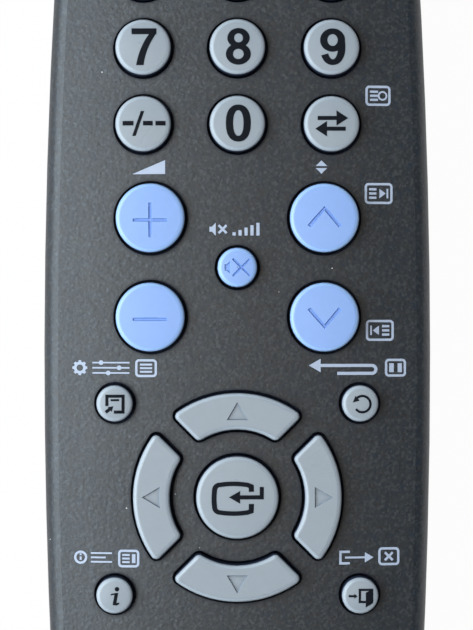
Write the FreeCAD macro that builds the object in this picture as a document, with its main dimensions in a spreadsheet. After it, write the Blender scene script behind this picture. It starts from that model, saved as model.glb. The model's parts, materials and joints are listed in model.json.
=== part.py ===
import FreeCAD, Part
import math
import os

import Sketcher
from FreeCAD import Rotation, Vector

# A hand-held television remote control, in millimetres.
# X runs across it, Y along it towards the infrared window, Z up out of the keys.
# The origin is under the middle of the body, on the surface that the remote lies on.
# The middle of the navigation ring stands straight over the origin.

# Driving dimensions: name, value, meaning
SIZES = [
    ("body_length", 204.0, "overall length of the case"),
    ("body_width", 49.8, "width of the case across the parting line"),
    ("body_height", 21.0, "height of the key face at its middle"),
    ("split_height", 14.0, "height of the parting line"),
    ("widest_rise", 17.6, "how far in front of the ring the case is widest"),
    ("side_radius", 838.0, "radius of the long sides"),
    ("tail_side_radius", 3000.0, "radius of the sides towards the tail"),
    ("tail_side_drop", 40.6, "from the widest place to where the tail sides begin"),
    ("front_end_radius", 70.0, "radius of the front end"),
    ("front_corner_radius", 12.0, "radius of the front corners"),
    ("tail_end_radius", 52.0, "radius of the tail end"),
    ("tail_corner_radius", 13.0, "radius of the tail corners"),
    ("upper_draft", 5.0, "lean of the upper walls, in degrees"),
    ("lower_draft", 10.0, "lean of the lower walls, in degrees"),
    ("crown_radius", 160.0, "radius of the gentle crown across the key face"),
    ("top_edge_radius", 2.2, "round between key face and sides"),
    ("belly_radius", 6.0, "round between sides and underside"),
    ("parting_chamfer", 0.25, "bevel along the parting line"),
    ("wall", 1.8, "wall of both shells"),
    ("rib", 1.2, "wall of the ribs, deck and battery bay"),
    ("ceiling_height", 18.6, "underside of the key face"),
    ("lip_gap", 0.55, "from the wall's inside to the locating lip"),
    ("lip_width", 0.8, "wall of the locating lip"),
    ("lip_drop", 1.4, "how far the lip reaches into the lower shell"),
    ("lip_root", 1.2, "height of the lip's root above the parting line"),
    ("board_thickness", 1.2, "circuit board"),
    ("board_underside", 14.4, "height of the circuit board's underside"),
    ("board_half_width", 18.6, "half width of the circuit board"),
    ("board_front", 93.0, "front edge of the circuit board"),
    ("board_tail", 52.0, "tail edge of the circuit board, behind the ring"),
    ("board_front_corner", 6.0, "cut front corner of the circuit board"),
    ("board_tail_corner", 3.0, "cut tail corner of the circuit board"),
    ("board_notch_gap", 0.5, "round the emitter in the circuit board's notch"),
    ("sheet_thickness", 0.75, "web of the silicone sheet"),
    ("sheet_margin", 0.4, "how much the sheet stops short of the board's edge"),
    ("pad_radius", 1.45, "carbon contact pad"),
    ("pad_thickness", 0.05, "carbon contact pad"),
    ("post_radius", 1.0, "locating post"),
    ("post_clearance", 0.2, "round a locating post"),
    ("post_short", 0.2, "how much a post stops short of the board's underside"),
    ("post_spacing", 11.82, "from the left post to the right one"),
    ("post_front_y", 70.9, "front pair of posts"),
    ("post_middle_y", 51.7, "middle pair of posts"),
    ("post_tail_y", 40.3, "tail pair of posts, behind the ring"),
    ("standoff_radius", 1.5, "board standoff"),
    ("standoff_x", 16.0, "board standoffs, off the centre line"),
    ("standoff_front_y", 79.0, "front standoffs"),
    ("standoff_middle_y", 42.0, "middle standoffs"),
    ("standoff_rear_y", 3.0, "rear standoffs"),
    ("standoff_deck_y", 48.5, "standoffs on the deck, behind the ring"),
    ("key_gap", 0.36, "round a key in its hole"),
    ("key_travel", 0.8, "how far a key goes down"),
    ("key_bottom_gap", 0.05, "left under a key that is pressed right down"),
    ("flange_width", 0.65, "how far a key's flange stands out"),
    ("flange_play", 0.1, "between a key's flange and the ceiling"),
    ("plunger_inset", 0.8, "how far a plunger is smaller than its key"),
    ("plunger_clearance", 0.4, "round a plunger in the sheet"),
    ("key_dome", 0.2, "rise of a round key's face"),
    ("key_edge", 0.6, "round of a key's rim"),
    ("number_key_radius", 3.5, "number key"),
    ("volume_key_radius", 4.35, "volume and channel key"),
    ("mute_key_radius", 2.5, "mute key"),
    ("small_key_radius", 2.3, "small function key"),
    ("enter_key_radius", 5.18, "key in the middle of the ring"),
    ("power_key_radius", 3.1, "power and source keys"),
    ("ring_outer_radius", 13.1, "outside of the ring keys"),
    ("ring_inner_radius", 8.48, "inside of the ring keys"),
    ("ring_half_gap", 1.47, "from a ring key's end to the diagonal"),
    ("ring_corner", 0.7, "corner of a ring key"),
    ("colour_key_half_length", 3.6, "colour key"),
    ("colour_key_radius", 1.9, "colour key"),
    ("play_key_half_length", 3.7, "playback key"),
    ("play_key_radius", 2.2, "playback key"),
    ("key_proud", 1.8, "how far most keys stand out of the face"),
    ("ring_key_proud", 1.6, "how far a ring key stands out"),
    ("low_key_proud", 1.2, "how far a colour or playback key stands out"),
    ("column_pitch", 11.82, "number columns"),
    ("row_pitch", 9.6, "number rows"),
    ("zero_row_y", 46.85, "row of the zero"),
    ("power_row_gap", 12.6, "from the first number row to the power row"),
    ("volume_column_x", 10.93, "volume and channel columns"),
    ("volume_low_y", 22.6, "volume down and channel down"),
    ("volume_pitch", 12.44, "volume up over volume down"),
    ("small_column_x", 15.42, "small function keys"),
    ("small_front_y", 11.75, "small keys in front of the ring's middle"),
    ("small_rear_y", 12.35, "small keys behind the ring's middle"),
    ("colour_row_y", 24.2, "colour keys, behind the ring"),
    ("colour_pitch", 9.6, "colour keys"),
    ("play_row_y", 34.6, "first playback row, behind the ring"),
    ("play_row_pitch", 9.6, "playback rows"),
    ("mark_depth", 0.25, "depth of an engraved mark"),
    ("mark_draft", 30.0, "lean of an engraved mark's walls, in degrees"),
    ("mark_half_length", 2.2, "half length of a plus, minus or chevron"),
    ("mark_stroke", 0.45, "stroke of a plus, minus or chevron"),
    ("mark_shift", 0.28, "how far a plus, minus or chevron sits off its key's middle"),
    ("mute_mark_unit", 0.38, "unit of the mark on the mute key"),
    ("mute_mark_stroke", 0.36, "stroke of the cross on the mute key"),
    ("chevron_rise", 2.45, "height of a chevron"),
    ("arrow_half_width", 1.35, "half width of a ring key's arrow"),
    ("arrow_height", 2.3, "height of a ring key's arrow"),
    ("arrow_radius", 9.7, "from the ring's middle to an arrow's foot"),
    ("touch_dot_radius", 0.42, "raised dot on the five"),
    ("touch_dot_rise", 0.3, "raised dot on the five"),
    ("cell_radius", 5.25, "battery cell"),
    ("cell_length", 43.5, "battery cell without its nub"),
    ("cell_nub_radius", 1.9, "positive nub of a cell"),
    ("cell_nub_length", 1.0, "positive nub of a cell"),
    ("cell_edge", 0.5, "round of a cell's ends"),
    ("cell_clearance", 0.35, "under and between the cells"),
    ("bay_side_clearance", 0.45, "beside the cells"),
    ("bay_front_y", 38.0, "inside front of the battery bay, behind the ring"),
    ("bay_wall_foot", 2.3, "height of the bay walls' lower edge"),
    ("spring_length", 6.0, "battery spring, fitted"),
    ("spring_wide_radius", 3.5, "spring at its plate"),
    ("spring_narrow_radius", 1.9, "spring at its cell"),
    ("spring_wire_radius", 0.25, "spring wire"),
    ("spring_seat_gap", 0.05, "between a spring and what it presses on"),
    ("plate_thickness", 0.4, "contact plate"),
    ("plate_half_width", 4.0, "contact plate"),
    ("plate_half_height", 4.0, "contact plate"),
    ("dimple_radius", 1.5, "raised dimple of a contact plate"),
    ("dimple_rise", 0.4, "raised dimple of a contact plate"),
    ("tab_half_width", 1.2, "solder tab of a contact plate"),
    ("tab_clearance", 0.3, "round a solder tab in the deck"),
    ("cover_y", 32.0, "front edge of the battery cover, behind the ring"),
    ("cover_height", 5.0, "height of the battery cover's edge"),
    ("cover_gap", 0.15, "round the battery cover"),
    ("ledge_width", 1.2, "ledge that the cover's hooks run on"),
    ("ledge_foot", 2.6, "height of the ledge's underside"),
    ("ledge_thickness", 1.0, "ledge that the cover's hooks run on"),
    ("hook_gap", 0.25, "between ledge and hook"),
    ("hook_wall", 1.0, "wall of the cover's hooks"),
    ("hook_front_y", 42.0, "front end of the hooks, behind the ring"),
    ("hook_tail_y", 84.0, "tail end of the hooks, behind the ring"),
    ("latch_inner_x", 15.2, "latch tongue, inner side"),
    ("latch_width", 2.2, "latch tongue"),
    ("latch_reach", 4.0, "how far a latch tongue reaches under the floor"),
    ("latch_root", 4.0, "length of the latch tongue's root"),
    ("latch_thickness", 1.0, "latch tongue"),
    ("latch_gap", 0.3, "round a latch tongue"),
    ("grip_half_width", 8.0, "finger groove in the cover"),
    ("grip_width", 0.9, "finger groove in the cover"),
    ("grip_depth", 0.5, "finger groove in the cover"),
    ("grip_pitch", 2.2, "finger grooves in the cover"),
    ("grip_first_y", 38.0, "first finger groove, behind the ring"),
    ("push_arrow_half_width", 2.2, "arrow that shows which way the cover goes"),
    ("push_arrow_length", 3.2, "arrow that shows which way the cover goes"),
    ("push_arrow_gap", 1.6, "between the last groove and the arrow"),
    ("screw_x", 16.8, "case screws, off the centre line"),
    ("screw_y", 62.0, "case screws, behind the ring"),
    ("screw_head_radius", 2.1, "case screw"),
    ("screw_head_height", 1.5, "case screw"),
    ("screw_radius", 0.9, "case screw"),
    ("screw_bite", 3.8, "how far a screw goes into its boss"),
    ("screw_slot", 0.3, "half width of the cross in a screw head"),
    ("screw_slot_depth", 0.7, "depth of the cross in a screw head"),
    ("screw_hole_clearance", 0.4, "round a screw in the deck"),
    ("boss_radius", 2.6, "screw boss"),
    ("boss_bore_gap", 0.05, "round a screw in its boss"),
    ("window_half_width", 9.9, "infrared window"),
    ("window_foot", 9.6, "height of the window's lower edge"),
    ("window_top", 17.4, "height of the window's upper edge"),
    ("window_gap", 0.1, "round the infrared window"),
    ("window_cut_y", 95.0, "where the window's opening begins"),
    ("emitter_radius", 2.5, "infrared emitter"),
    ("emitter_height", 13.5, "height of the emitter's axis"),
    ("emitter_rim_radius", 2.9, "rim at the emitter's back"),
    ("emitter_rim_length", 1.0, "rim at the emitter's back"),
    ("emitter_back_y", 91.0, "back of the emitter"),
    ("emitter_length", 8.4, "emitter, back to tip"),
    ("lead_half_width", 0.25, "emitter lead"),
    ("lead_spacing", 2.54, "emitter leads"),
    ("lead_end_y", 86.0, "where the emitter leads meet the board"),
    ("chip_half_width", 3.8, "controller chip"),
    ("chip_half_length", 6.4, "controller chip"),
    ("chip_thickness", 1.9, "controller chip"),
    ("chip_y", 58.0, "controller chip"),
    ("resonator_half_width", 3.6, "resonator"),
    ("resonator_half_length", 1.3, "resonator"),
    ("resonator_height", 4.2, "resonator"),
    ("resonator_y", 45.0, "resonator"),
    ("capacitor_radius", 2.5, "filter capacitor"),
    ("capacitor_length", 7.0, "filter capacitor"),
    ("capacitor_y", 18.0, "filter capacitor, behind the ring"),
    ("resistor_half_length", 1.0, "chip resistor"),
    ("resistor_half_width", 0.6, "chip resistor"),
    ("resistor_thickness", 0.5, "chip resistor"),
    ("resistor_x", 8.0, "chip resistors, off the centre line"),
    ("resistor_y", 72.0, "first chip resistor"),
    ("resistor_pitch", 3.0, "chip resistors"),
]
SPRING_TURNS = 4
GRIP_GROOVES = 5
RESISTORS = 4

START, END, CENTRE = 1, 2, 3
ORIGIN = (-1, 1)
VERTICAL_AXIS = -2
OUTWARDS = 1.0


class Size:
    """A dimension that carries its spreadsheet expression beside its present number."""

    def __init__(self, text, number):
        self.text = text
        self.number = number

    def __add__(self, other):
        other = as_size(other)
        return Size(f"({self.text} + {other.text})", self.number + other.number)

    def __sub__(self, other):
        other = as_size(other)
        return Size(f"({self.text} - {other.text})", self.number - other.number)

    def __mul__(self, other):
        other = as_size(other)
        return Size(f"({self.text} * {other.text})", self.number * other.number)

    def __truediv__(self, other):
        other = as_size(other)
        return Size(f"({self.text} / {other.text})", self.number / other.number)

    def __neg__(self):
        return Size(f"(0 - {self.text})", -self.number)


def as_size(value):
    return value if isinstance(value, Size) else Size(repr(float(value)), float(value))


def slope(angle):
    """How far a leaning wall moves sideways for each millimetre of height."""
    return Size(f"tan({angle.text})", math.tan(math.radians(angle.number)))


class Sheet:
    """The spreadsheet of driving dimensions, each read as an attribute."""

    def __init__(self, document, rows):
        cells = document.addObject("Spreadsheet::Sheet", "Sizes")
        for row, (name, value, meaning) in enumerate(rows, 1):
            cells.set(f"A{row}", name)
            cells.set(f"B{row}", str(value))
            cells.setAlias(f"B{row}", name)
            cells.set(f"C{row}", meaning)
            setattr(self, name, Size(f"Sizes.{name}", value))


doc = FreeCAD.newDocument("remote_control")
S = Sheet(doc, SIZES)
doc.recompute()

ZERO = as_size(0)
HALF_LENGTH = S.body_length / 2
HALF_WIDTH = S.body_width / 2
BOARD_TOP = S.board_underside + S.board_thickness
SHEET_TOP = BOARD_TOP + S.sheet_thickness
KEY_LIFT = S.key_travel + S.key_bottom_gap
PLUNGER_FOOT = BOARD_TOP + S.pad_thickness + KEY_LIFT
FLANGE_FOOT = SHEET_TOP + KEY_LIFT
FLANGE_TOP = S.ceiling_height - S.flange_play
DECK_UNDERSIDE = S.split_height - S.rib
CELL_X = S.cell_radius + S.cell_clearance
CELL_HEIGHT = S.wall + S.cell_clearance + S.cell_radius
BAY_HALF_WIDTH = CELL_X + S.cell_radius + S.bay_side_clearance
BAY_LENGTH = (
    S.plate_thickness * 2
    + S.spring_length
    + S.cell_length
    + S.cell_nub_length
    + S.dimple_rise
)
BAY_FRONT = -S.bay_front_y
BAY_TAIL = BAY_FRONT - BAY_LENGTH


# Sketches and features


def new_body(label, x=ZERO, y=ZERO, z=ZERO, rotation=None):
    """A body of its own, placed by the sheet's values."""
    body = doc.addObject("PartDesign::Body", label)
    body.Label = label
    if rotation is not None:
        body.Placement = FreeCAD.Placement(Vector(), rotation)
    for axis, size in (("x", x), ("y", y), ("z", z)):
        body.setExpression(f"Placement.Base.{axis}", size.text)
    return body


def sketch_on(body, role="XY_Plane", offset=ZERO):
    """A sketch on one of the body's own origin planes, moved along that plane's normal."""
    sketch = body.newObject("Sketcher::SketchObject", "sketch")
    plane = next(f for f in body.Origin.OriginFeatures if f.Role == role)
    sketch.AttachmentSupport = [(plane, "")]
    sketch.MapMode = "FlatFace"
    sketch.setExpression("AttachmentOffset.Base.z", offset.text)
    return sketch


def fix(sketch, kind, *where, size):
    """One dimension of a sketch, tied to its size."""
    index = sketch.addConstraint(Sketcher.Constraint(kind, *where, size.number))
    sketch.setExpression(f"Constraints[{index}]", size.text)


def join(sketch, first, second):
    sketch.addConstraint(Sketcher.Constraint("Coincident", *first, *second))


def place(sketch, point, x, y):
    fix(sketch, "DistanceX", *point, size=x)
    fix(sketch, "DistanceY", *point, size=y)


def circle(sketch, x, y, radius):
    shape = Part.Circle(Vector(x.number, y.number, 0), Vector(0, 0, 1), radius.number)
    index = sketch.addGeometry(shape, False)
    place(sketch, (index, CENTRE), x, y)
    fix(sketch, "Radius", index, size=radius)


def line(sketch, start, end):
    return sketch.addGeometry(Part.LineSegment(Vector(*start, 0), Vector(*end, 0)), False)


def arc(sketch, centre, radius, first, last):
    """An arc about a centre, anticlockwise from one angle to another, in radians."""
    shape = Part.Circle(Vector(*centre, 0), Vector(0, 0, 1), radius)
    return sketch.addGeometry(Part.ArcOfCircle(shape, first, last), False)


def polygon(sketch, corners):
    """A closed outline with every corner tied to the sheet."""
    points = [(x.number, y.number) for x, y in corners]
    indices = [line(sketch, p, q) for p, q in zip(points, points[1:] + points[:1])]
    for index, following in zip(indices, indices[1:] + indices[:1]):
        join(sketch, (index, END), (following, START))
    for index, (x, y) in zip(indices, corners):
        place(sketch, (index, START), x, y)


def rectangle(sketch, left, right, low, high):
    polygon(sketch, [(left, low), (right, low), (right, high), (left, high)])


def obround(sketch, x, y, half_length, radius):
    """Two half circles joined by straight lines along X."""
    reach = half_length - radius
    right = (x.number + reach.number, y.number)
    left = (x.number - reach.number, y.number)
    r = radius.number
    quarter = math.pi / 2
    turn = arc(sketch, right, r, -quarter, quarter)
    top = line(sketch, (right[0], right[1] + r), (left[0], left[1] + r))
    back = arc(sketch, left, r, quarter, 3 * quarter)
    base = line(sketch, (left[0], left[1] - r), (right[0], right[1] - r))
    for first, second in ((turn, top), (top, back), (back, base), (base, turn)):
        sketch.addConstraint(Sketcher.Constraint("Tangent", first, END, second, START))
    place(sketch, (turn, CENTRE), x + reach, y)
    place(sketch, (back, CENTRE), x - reach, y)
    fix(sketch, "Radius", turn, size=radius)


def sector(sketch, outer, inner, half_gap):
    """A quarter of a ring, open to +Y, whose ends lie half_gap from the diagonals."""
    shift = half_gap.number * math.sqrt(2)
    corners = []
    for radius in (inner.number, outer.number):
        x = (math.sqrt(2 * radius**2 - shift**2) - shift) / 2
        corners.append((x, x + shift))
    low, high = corners
    low_angle = math.atan2(low[1], low[0])
    high_angle = math.atan2(high[1], high[0])
    outside = arc(sketch, (0, 0), outer.number, high_angle, math.pi - high_angle)
    inside = arc(sketch, (0, 0), inner.number, low_angle, math.pi - low_angle)
    right = line(sketch, low, high)
    left = line(sketch, (-low[0], low[1]), (-high[0], high[1]))
    join(sketch, (right, START), (inside, START))
    join(sketch, (right, END), (outside, START))
    join(sketch, (left, START), (inside, END))
    join(sketch, (left, END), (outside, END))
    for index, size in ((outside, outer), (inside, inner)):
        join(sketch, (index, CENTRE), ORIGIN)
        fix(sketch, "Radius", index, size=size)
    for index, angle in ((right, 45), (left, 135)):
        sketch.addConstraint(Sketcher.Constraint("Angle", index, math.radians(angle)))
        fix(sketch, "Distance", *ORIGIN, index, size=half_gap)


def meeting(first, first_radius, second, second_radius, side):
    """The point at two distances from two points, on the side that side says."""
    dx, dy = second[0] - first[0], second[1] - first[1]
    apart = math.hypot(dx, dy)
    along = (first_radius**2 - second_radius**2 + apart**2) / (2 * apart)
    off = math.sqrt(first_radius**2 - along**2) * side
    x = first[0] + (along * dx - off * dy) / apart
    y = first[1] + (along * dy + off * dx) / apart
    return x, y


def angle_from(centre, point):
    return math.atan2(point[1] - centre[1], point[0] - centre[0])


class Outline:
    """The case seen from above: ten arcs, each tangent to the next.

    The centres are the same at every inset, and only the radii shrink.
    """

    def __init__(self):
        self.radii = {
            "side": S.side_radius,
            "tail_side": S.tail_side_radius,
            "front": S.front_end_radius,
            "front_corner": S.front_corner_radius,
            "tail": S.tail_end_radius,
            "tail_corner": S.tail_corner_radius,
        }
        self.side_offset = HALF_WIDTH - S.side_radius
        side, tail_side = S.side_radius.number, S.tail_side_radius.number
        self.side = (self.side_offset.number, S.widest_rise.number)
        self.join_angle = -math.asin(S.tail_side_drop.number / side)
        reach = side - tail_side
        self.tail_side = (
            self.side[0] + reach * math.cos(self.join_angle),
            self.side[1] + reach * math.sin(self.join_angle),
        )
        front, front_r = S.front_end_radius.number, S.front_corner_radius.number
        tail, tail_r = S.tail_end_radius.number, S.tail_corner_radius.number
        self.front = (0.0, HALF_LENGTH.number - front)
        self.tail = (0.0, tail - HALF_LENGTH.number)
        self.front_corner = meeting(
            self.side, side - front_r, self.front, front - front_r, 1
        )
        self.tail_corner = meeting(
            self.tail_side, tail_side - tail_r, self.tail, tail - tail_r, -1
        )
        self.front_angles = (
            angle_from(self.side, self.front_corner),
            angle_from(self.front, self.front_corner),
        )
        self.tail_angles = (
            angle_from(self.tail_side, self.tail_corner),
            angle_from(self.tail, self.tail_corner),
        )

    def join_y(self, inset):
        """Where a long side meets its tail side, at an inset."""
        return S.widest_rise - (S.side_radius - inset) * S.tail_side_drop / S.side_radius

    def draw(self, sketch, inset, behind=None):
        """Draws the outline, or only what lies behind a straight line across the case."""
        half_turn = math.pi
        side, end = self.front_angles
        tail_side, tail_end = self.tail_angles
        bend = self.join_angle
        runs = [
            ("side", 1, bend, side),
            ("front_corner", 1, side, end),
            ("front", 0, end, half_turn - end),
            ("front_corner", -1, half_turn - end, half_turn - side),
            ("side", -1, half_turn - side, half_turn - bend),
        ]
        if behind is not None:
            radius = S.tail_side_radius.number - inset.number
            bend = math.asin((behind.number - self.tail_side[1]) / radius)
            runs = []
        runs += [
            ("tail_side", -1, half_turn - bend, half_turn - tail_side),
            ("tail_corner", -1, half_turn - tail_side, half_turn - tail_end),
            ("tail", 0, half_turn - tail_end, 2 * half_turn + tail_end),
            ("tail_corner", 1, tail_end, tail_side),
            ("tail_side", 1, tail_side, bend),
        ]
        indices = []
        for name, hand, first, last in runs:
            x, y = getattr(self, name)
            radius = self.radii[name] - inset
            index = arc(sketch, (x * (hand or 1), y), radius.number, first, last)
            fix(sketch, "Radius", index, size=radius)
            indices.append(index)
            if name == "side":
                place(sketch, (index, CENTRE), self.side_offset * hand, S.widest_rise)
                end_point = START if hand == 1 else END
                fix(sketch, "DistanceY", index, end_point, size=self.join_y(inset))
            elif name in ("front", "tail"):
                rise = HALF_LENGTH - self.radii[name]
                place(sketch, (index, CENTRE), ZERO, rise if name == "front" else -rise)
            elif name == "tail_side" and behind is not None:
                place(sketch, (index, CENTRE), *self.tail_side_centre(hand))
        for first, second in zip(indices, indices[1:]):
            sketch.addConstraint(Sketcher.Constraint("Tangent", first, END, second, START))
        if behind is None:
            ends = (indices[-1], END, indices[0], START)
            sketch.addConstraint(Sketcher.Constraint("Tangent", *ends))
        else:
            self.close(sketch, indices[-1], indices[0], behind)

    def tail_side_centre(self, hand):
        """The centre of a tail side, from the same sizes as the sides it goes on from."""
        reach = (S.side_radius - S.tail_side_radius) / S.side_radius
        level = math.cos(self.join_angle) * S.side_radius.number
        along = Size(f"sqrt({S.side_radius.text}^2 - {S.tail_side_drop.text}^2)", level)
        x = (self.side_offset + reach * along) * hand
        y = S.widest_rise - reach * S.tail_side_drop
        return x, y

    def tail_half_width(self, y):
        """Half the width of the case at a place along its tail sides."""
        x, centre_y = self.tail_side_centre(1)
        radius, off = S.tail_side_radius, y - centre_y
        level = math.sqrt(radius.number**2 - off.number**2)
        return x + Size(f"sqrt({radius.text}^2 - {off.text}^2)", level)

    def close(self, sketch, last, first, y):
        """A straight line across the case, from the last arc's end to the first one's start."""
        start = sketch.Geometry[last].EndPoint
        end = sketch.Geometry[first].StartPoint
        index = line(sketch, (start.x, start.y), (end.x, end.y))
        join(sketch, (last, END), (index, START))
        join(sketch, (index, END), (first, START))
        fix(sketch, "DistanceY", index, START, size=y)
        fix(sketch, "DistanceY", index, END, size=y)


CASE = Outline()


def made(feature):
    """Recomputes and stops at once if the feature could not be made."""
    doc.recompute()
    if "Invalid" in feature.State or "Error" in feature.State:
        owner = feature.getParentGeoFeatureGroup().Label
        raise RuntimeError(f"{owner}: {feature.Label} could not be made")
    return feature


def add(body, kind, sketch, length=None, up=True, draft=None, both=False):
    """A pad or a pocket. A pocket with no length goes right through.

    up says which way it goes along the sketch's normal.
    """
    feature = body.newObject(f"PartDesign::{kind}", kind.lower())
    feature.Profile = sketch
    feature.Reversed = up != (kind == "Pad")
    if both:
        feature.SideType = "Symmetric"
    if length is None:
        feature.Type = "ThroughAll"
    else:
        feature.setExpression("Length", length.text)
    if draft is not None:
        feature.setExpression("TaperAngle", (-draft).text)
    return made(feature)


def add_pad(body, sketch, length, **how):
    return add(body, "Pad", sketch, length, **how)


def add_pocket(body, sketch, length=None, **how):
    return add(body, "Pocket", sketch, length, **how)


def turned(body, sketch):
    """A revolution about the sketch's vertical axis."""
    feature = body.newObject("PartDesign::Revolution", "revolution")
    feature.Profile = sketch
    feature.ReferenceAxis = (sketch, ["V_Axis"])
    feature.Angle = 360
    return made(feature)


def edges_where(feature, wanted):
    """The names of a feature's edges whose bounding box passes a test."""
    return [
        f"Edge{number}"
        for number, edge in enumerate(feature.Shape.Edges, 1)
        if wanted(edge.BoundBox)
    ]


def dress(body, kind, feature, edges, radius):
    """Rounds or bevels some edges of the last feature."""
    if not edges:
        raise RuntimeError(f"{body.Label}: no edge to round or bevel")
    dressing = body.newObject(f"PartDesign::{kind}", kind.lower())
    dressing.Base = (feature, edges)
    dressing.setExpression("Radius" if kind == "Fillet" else "Size", radius.text)
    return made(dressing)


NEAR = 0.02


def at_height(height):
    """A test for edges that lie flat at a height."""
    return lambda box: (
        abs(box.ZMin - height.number) < NEAR and abs(box.ZMax - height.number) < NEAR
    )


# Keys


class Key:
    """One key: its place, its shape and how far it stands out of the face."""

    def __init__(self, name, x, y, radius, half_length=None, proud=None, mark=None):
        self.name = name
        self.x = x
        self.y = y
        self.radius = radius
        self.half_length = half_length
        self.proud = proud or S.key_proud
        self.mark = mark

    def top(self):
        """The height of the key's face, above the crowned face that it comes through."""
        return S.body_height - self.x * self.x / (S.crown_radius * 2) + self.proud

    def draw(self, sketch, grow=ZERO, there=True):
        """The key's outline, grown or shrunk, where the key stands or at the origin."""
        x, y = (self.x, self.y) if there else (ZERO, ZERO)
        if self.half_length is None:
            circle(sketch, x, y, self.radius + grow)
        else:
            obround(sketch, x, y, self.half_length + grow, self.radius + grow)


def number_keys():
    names = (
        ("key_last_channel", "key_0", "key_two_digit"),
        ("key_9", "key_8", "key_7"),
        ("key_6", "key_5", "key_4"),
        ("key_3", "key_2", "key_1"),
    )
    for row, row_names in enumerate(names):
        for column, name in enumerate(row_names):
            x = S.column_pitch * (1 - column)
            y = S.zero_row_y + S.row_pitch * row
            yield Key(name, x, y, S.number_key_radius)


def upper_keys():
    power_y = S.zero_row_y + S.row_pitch * 3 + S.power_row_gap
    volume_y = S.volume_low_y + S.volume_pitch
    x, radius = S.volume_column_x, S.volume_key_radius
    yield Key("power_key", -S.column_pitch, power_y, S.power_key_radius)
    yield Key("source_key", S.column_pitch, power_y, S.power_key_radius)
    yield Key("volume_up_key", -x, volume_y, radius, mark="plus")
    yield Key("volume_down_key", -x, S.volume_low_y, radius, mark="minus")
    yield Key("channel_up_key", x, volume_y, radius, mark="chevron_up")
    yield Key("channel_down_key", x, S.volume_low_y, radius, mark="chevron_down")
    mute_y = S.volume_low_y + S.volume_pitch / 2
    yield Key("mute_key", ZERO, mute_y, S.mute_key_radius, mark="mute")


def small_keys():
    x, radius = S.small_column_x, S.small_key_radius
    yield Key("tools_key", -x, S.small_front_y, radius)
    yield Key("return_key", x, S.small_front_y, radius)
    yield Key("info_key", -x, -S.small_rear_y, radius)
    yield Key("exit_key", x, -S.small_rear_y, radius)
    yield Key("enter_key", ZERO, ZERO, S.enter_key_radius)


def lower_keys():
    for place_number, name in enumerate(("red", "green", "yellow", "blue")):
        x = S.colour_pitch * (place_number - 1.5)
        yield Key(
            f"{name}_key",
            x,
            -S.colour_row_y,
            S.colour_key_radius,
            S.colour_key_half_length,
            S.low_key_proud,
        )
    names = (("rewind", "play", "forward"), ("record", "pause", "stop"))
    for row, row_names in enumerate(names):
        for column, name in enumerate(row_names):
            yield Key(
                f"{name}_key",
                S.column_pitch * (column - 1),
                -(S.play_row_y + S.play_row_pitch * row),
                S.play_key_radius,
                S.play_key_half_length,
                S.low_key_proud,
            )


PLAIN_KEYS = [*number_keys(), *upper_keys(), *small_keys(), *lower_keys()]
RING_KEYS = (("up_key", 0), ("left_key", 90), ("down_key", 180), ("right_key", 270))


def plus_corners():
    a, b = S.mark_half_length, S.mark_stroke / 2
    quarter = [(b, b), (b, a), (-b, a), (-b, b)]
    corners = []
    for _ in range(4):
        corners += quarter
        quarter = [(-y, x) for x, y in quarter]
    return [(x, y - S.mark_shift) for n, (x, y) in enumerate(corners) if n % 4 != 3]


def minus_corners():
    a, b, drop = S.mark_half_length, S.mark_stroke / 2, S.mark_shift
    return [(-a, -b - drop), (a, -b - drop), (a, b - drop), (-a, b - drop)]


def chevron_corners(way):
    """A chevron whose point goes up for 1 and down for -1."""
    a, half, drop = S.mark_half_length, S.chevron_rise / 2, S.mark_stroke * 1.4
    point = (S.mark_shift + half) * way
    foot = (S.mark_shift - half) * way
    inner = drop * way
    return [
        (-a, foot),
        (ZERO, point),
        (a, foot),
        (a - S.mark_stroke, foot - inner / 2),
        (ZERO, point - inner),
        (S.mark_stroke - a, foot - inner / 2),
    ]


def speaker_corners():
    """A small loudspeaker, left of the key's middle."""
    step = S.mute_mark_unit
    return [
        (step * -4.3, step * -1.2),
        (step * -3.5, step * -1.2),
        (step * -2.3, step * -2.2),
        (step * -2.3, step * 2.2),
        (step * -3.5, step * 1.2),
        (step * -4.3, step * 1.2),
    ]


def cross_corners():
    """A cross that stands on its corners, right of the key's middle."""
    long_arm, slant = S.mute_mark_unit * 2.6, S.mute_mark_stroke / math.sqrt(2)
    middle = S.mute_mark_unit * 1.4
    quarter = [(slant, ZERO), (long_arm + slant, long_arm), (long_arm, long_arm + slant)]
    corners = []
    for _ in range(4):
        corners += quarter
        quarter = [(-y, x) for x, y in quarter]
    return [(middle + x, y) for x, y in corners]


MARKS = {
    "plus": [plus_corners],
    "minus": [minus_corners],
    "chevron_up": [lambda: chevron_corners(1)],
    "chevron_down": [lambda: chevron_corners(-1)],
    "mute": [speaker_corners, cross_corners],
}


def engrave(body, top, outlines):
    """Cuts closed outlines into a key's face, with walls that lean in towards the floor."""
    sketch = sketch_on(body, offset=top)
    for corners in outlines:
        polygon(sketch, corners)
    add_pocket(body, sketch, S.mark_depth, up=False, draft=S.mark_draft)


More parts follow.
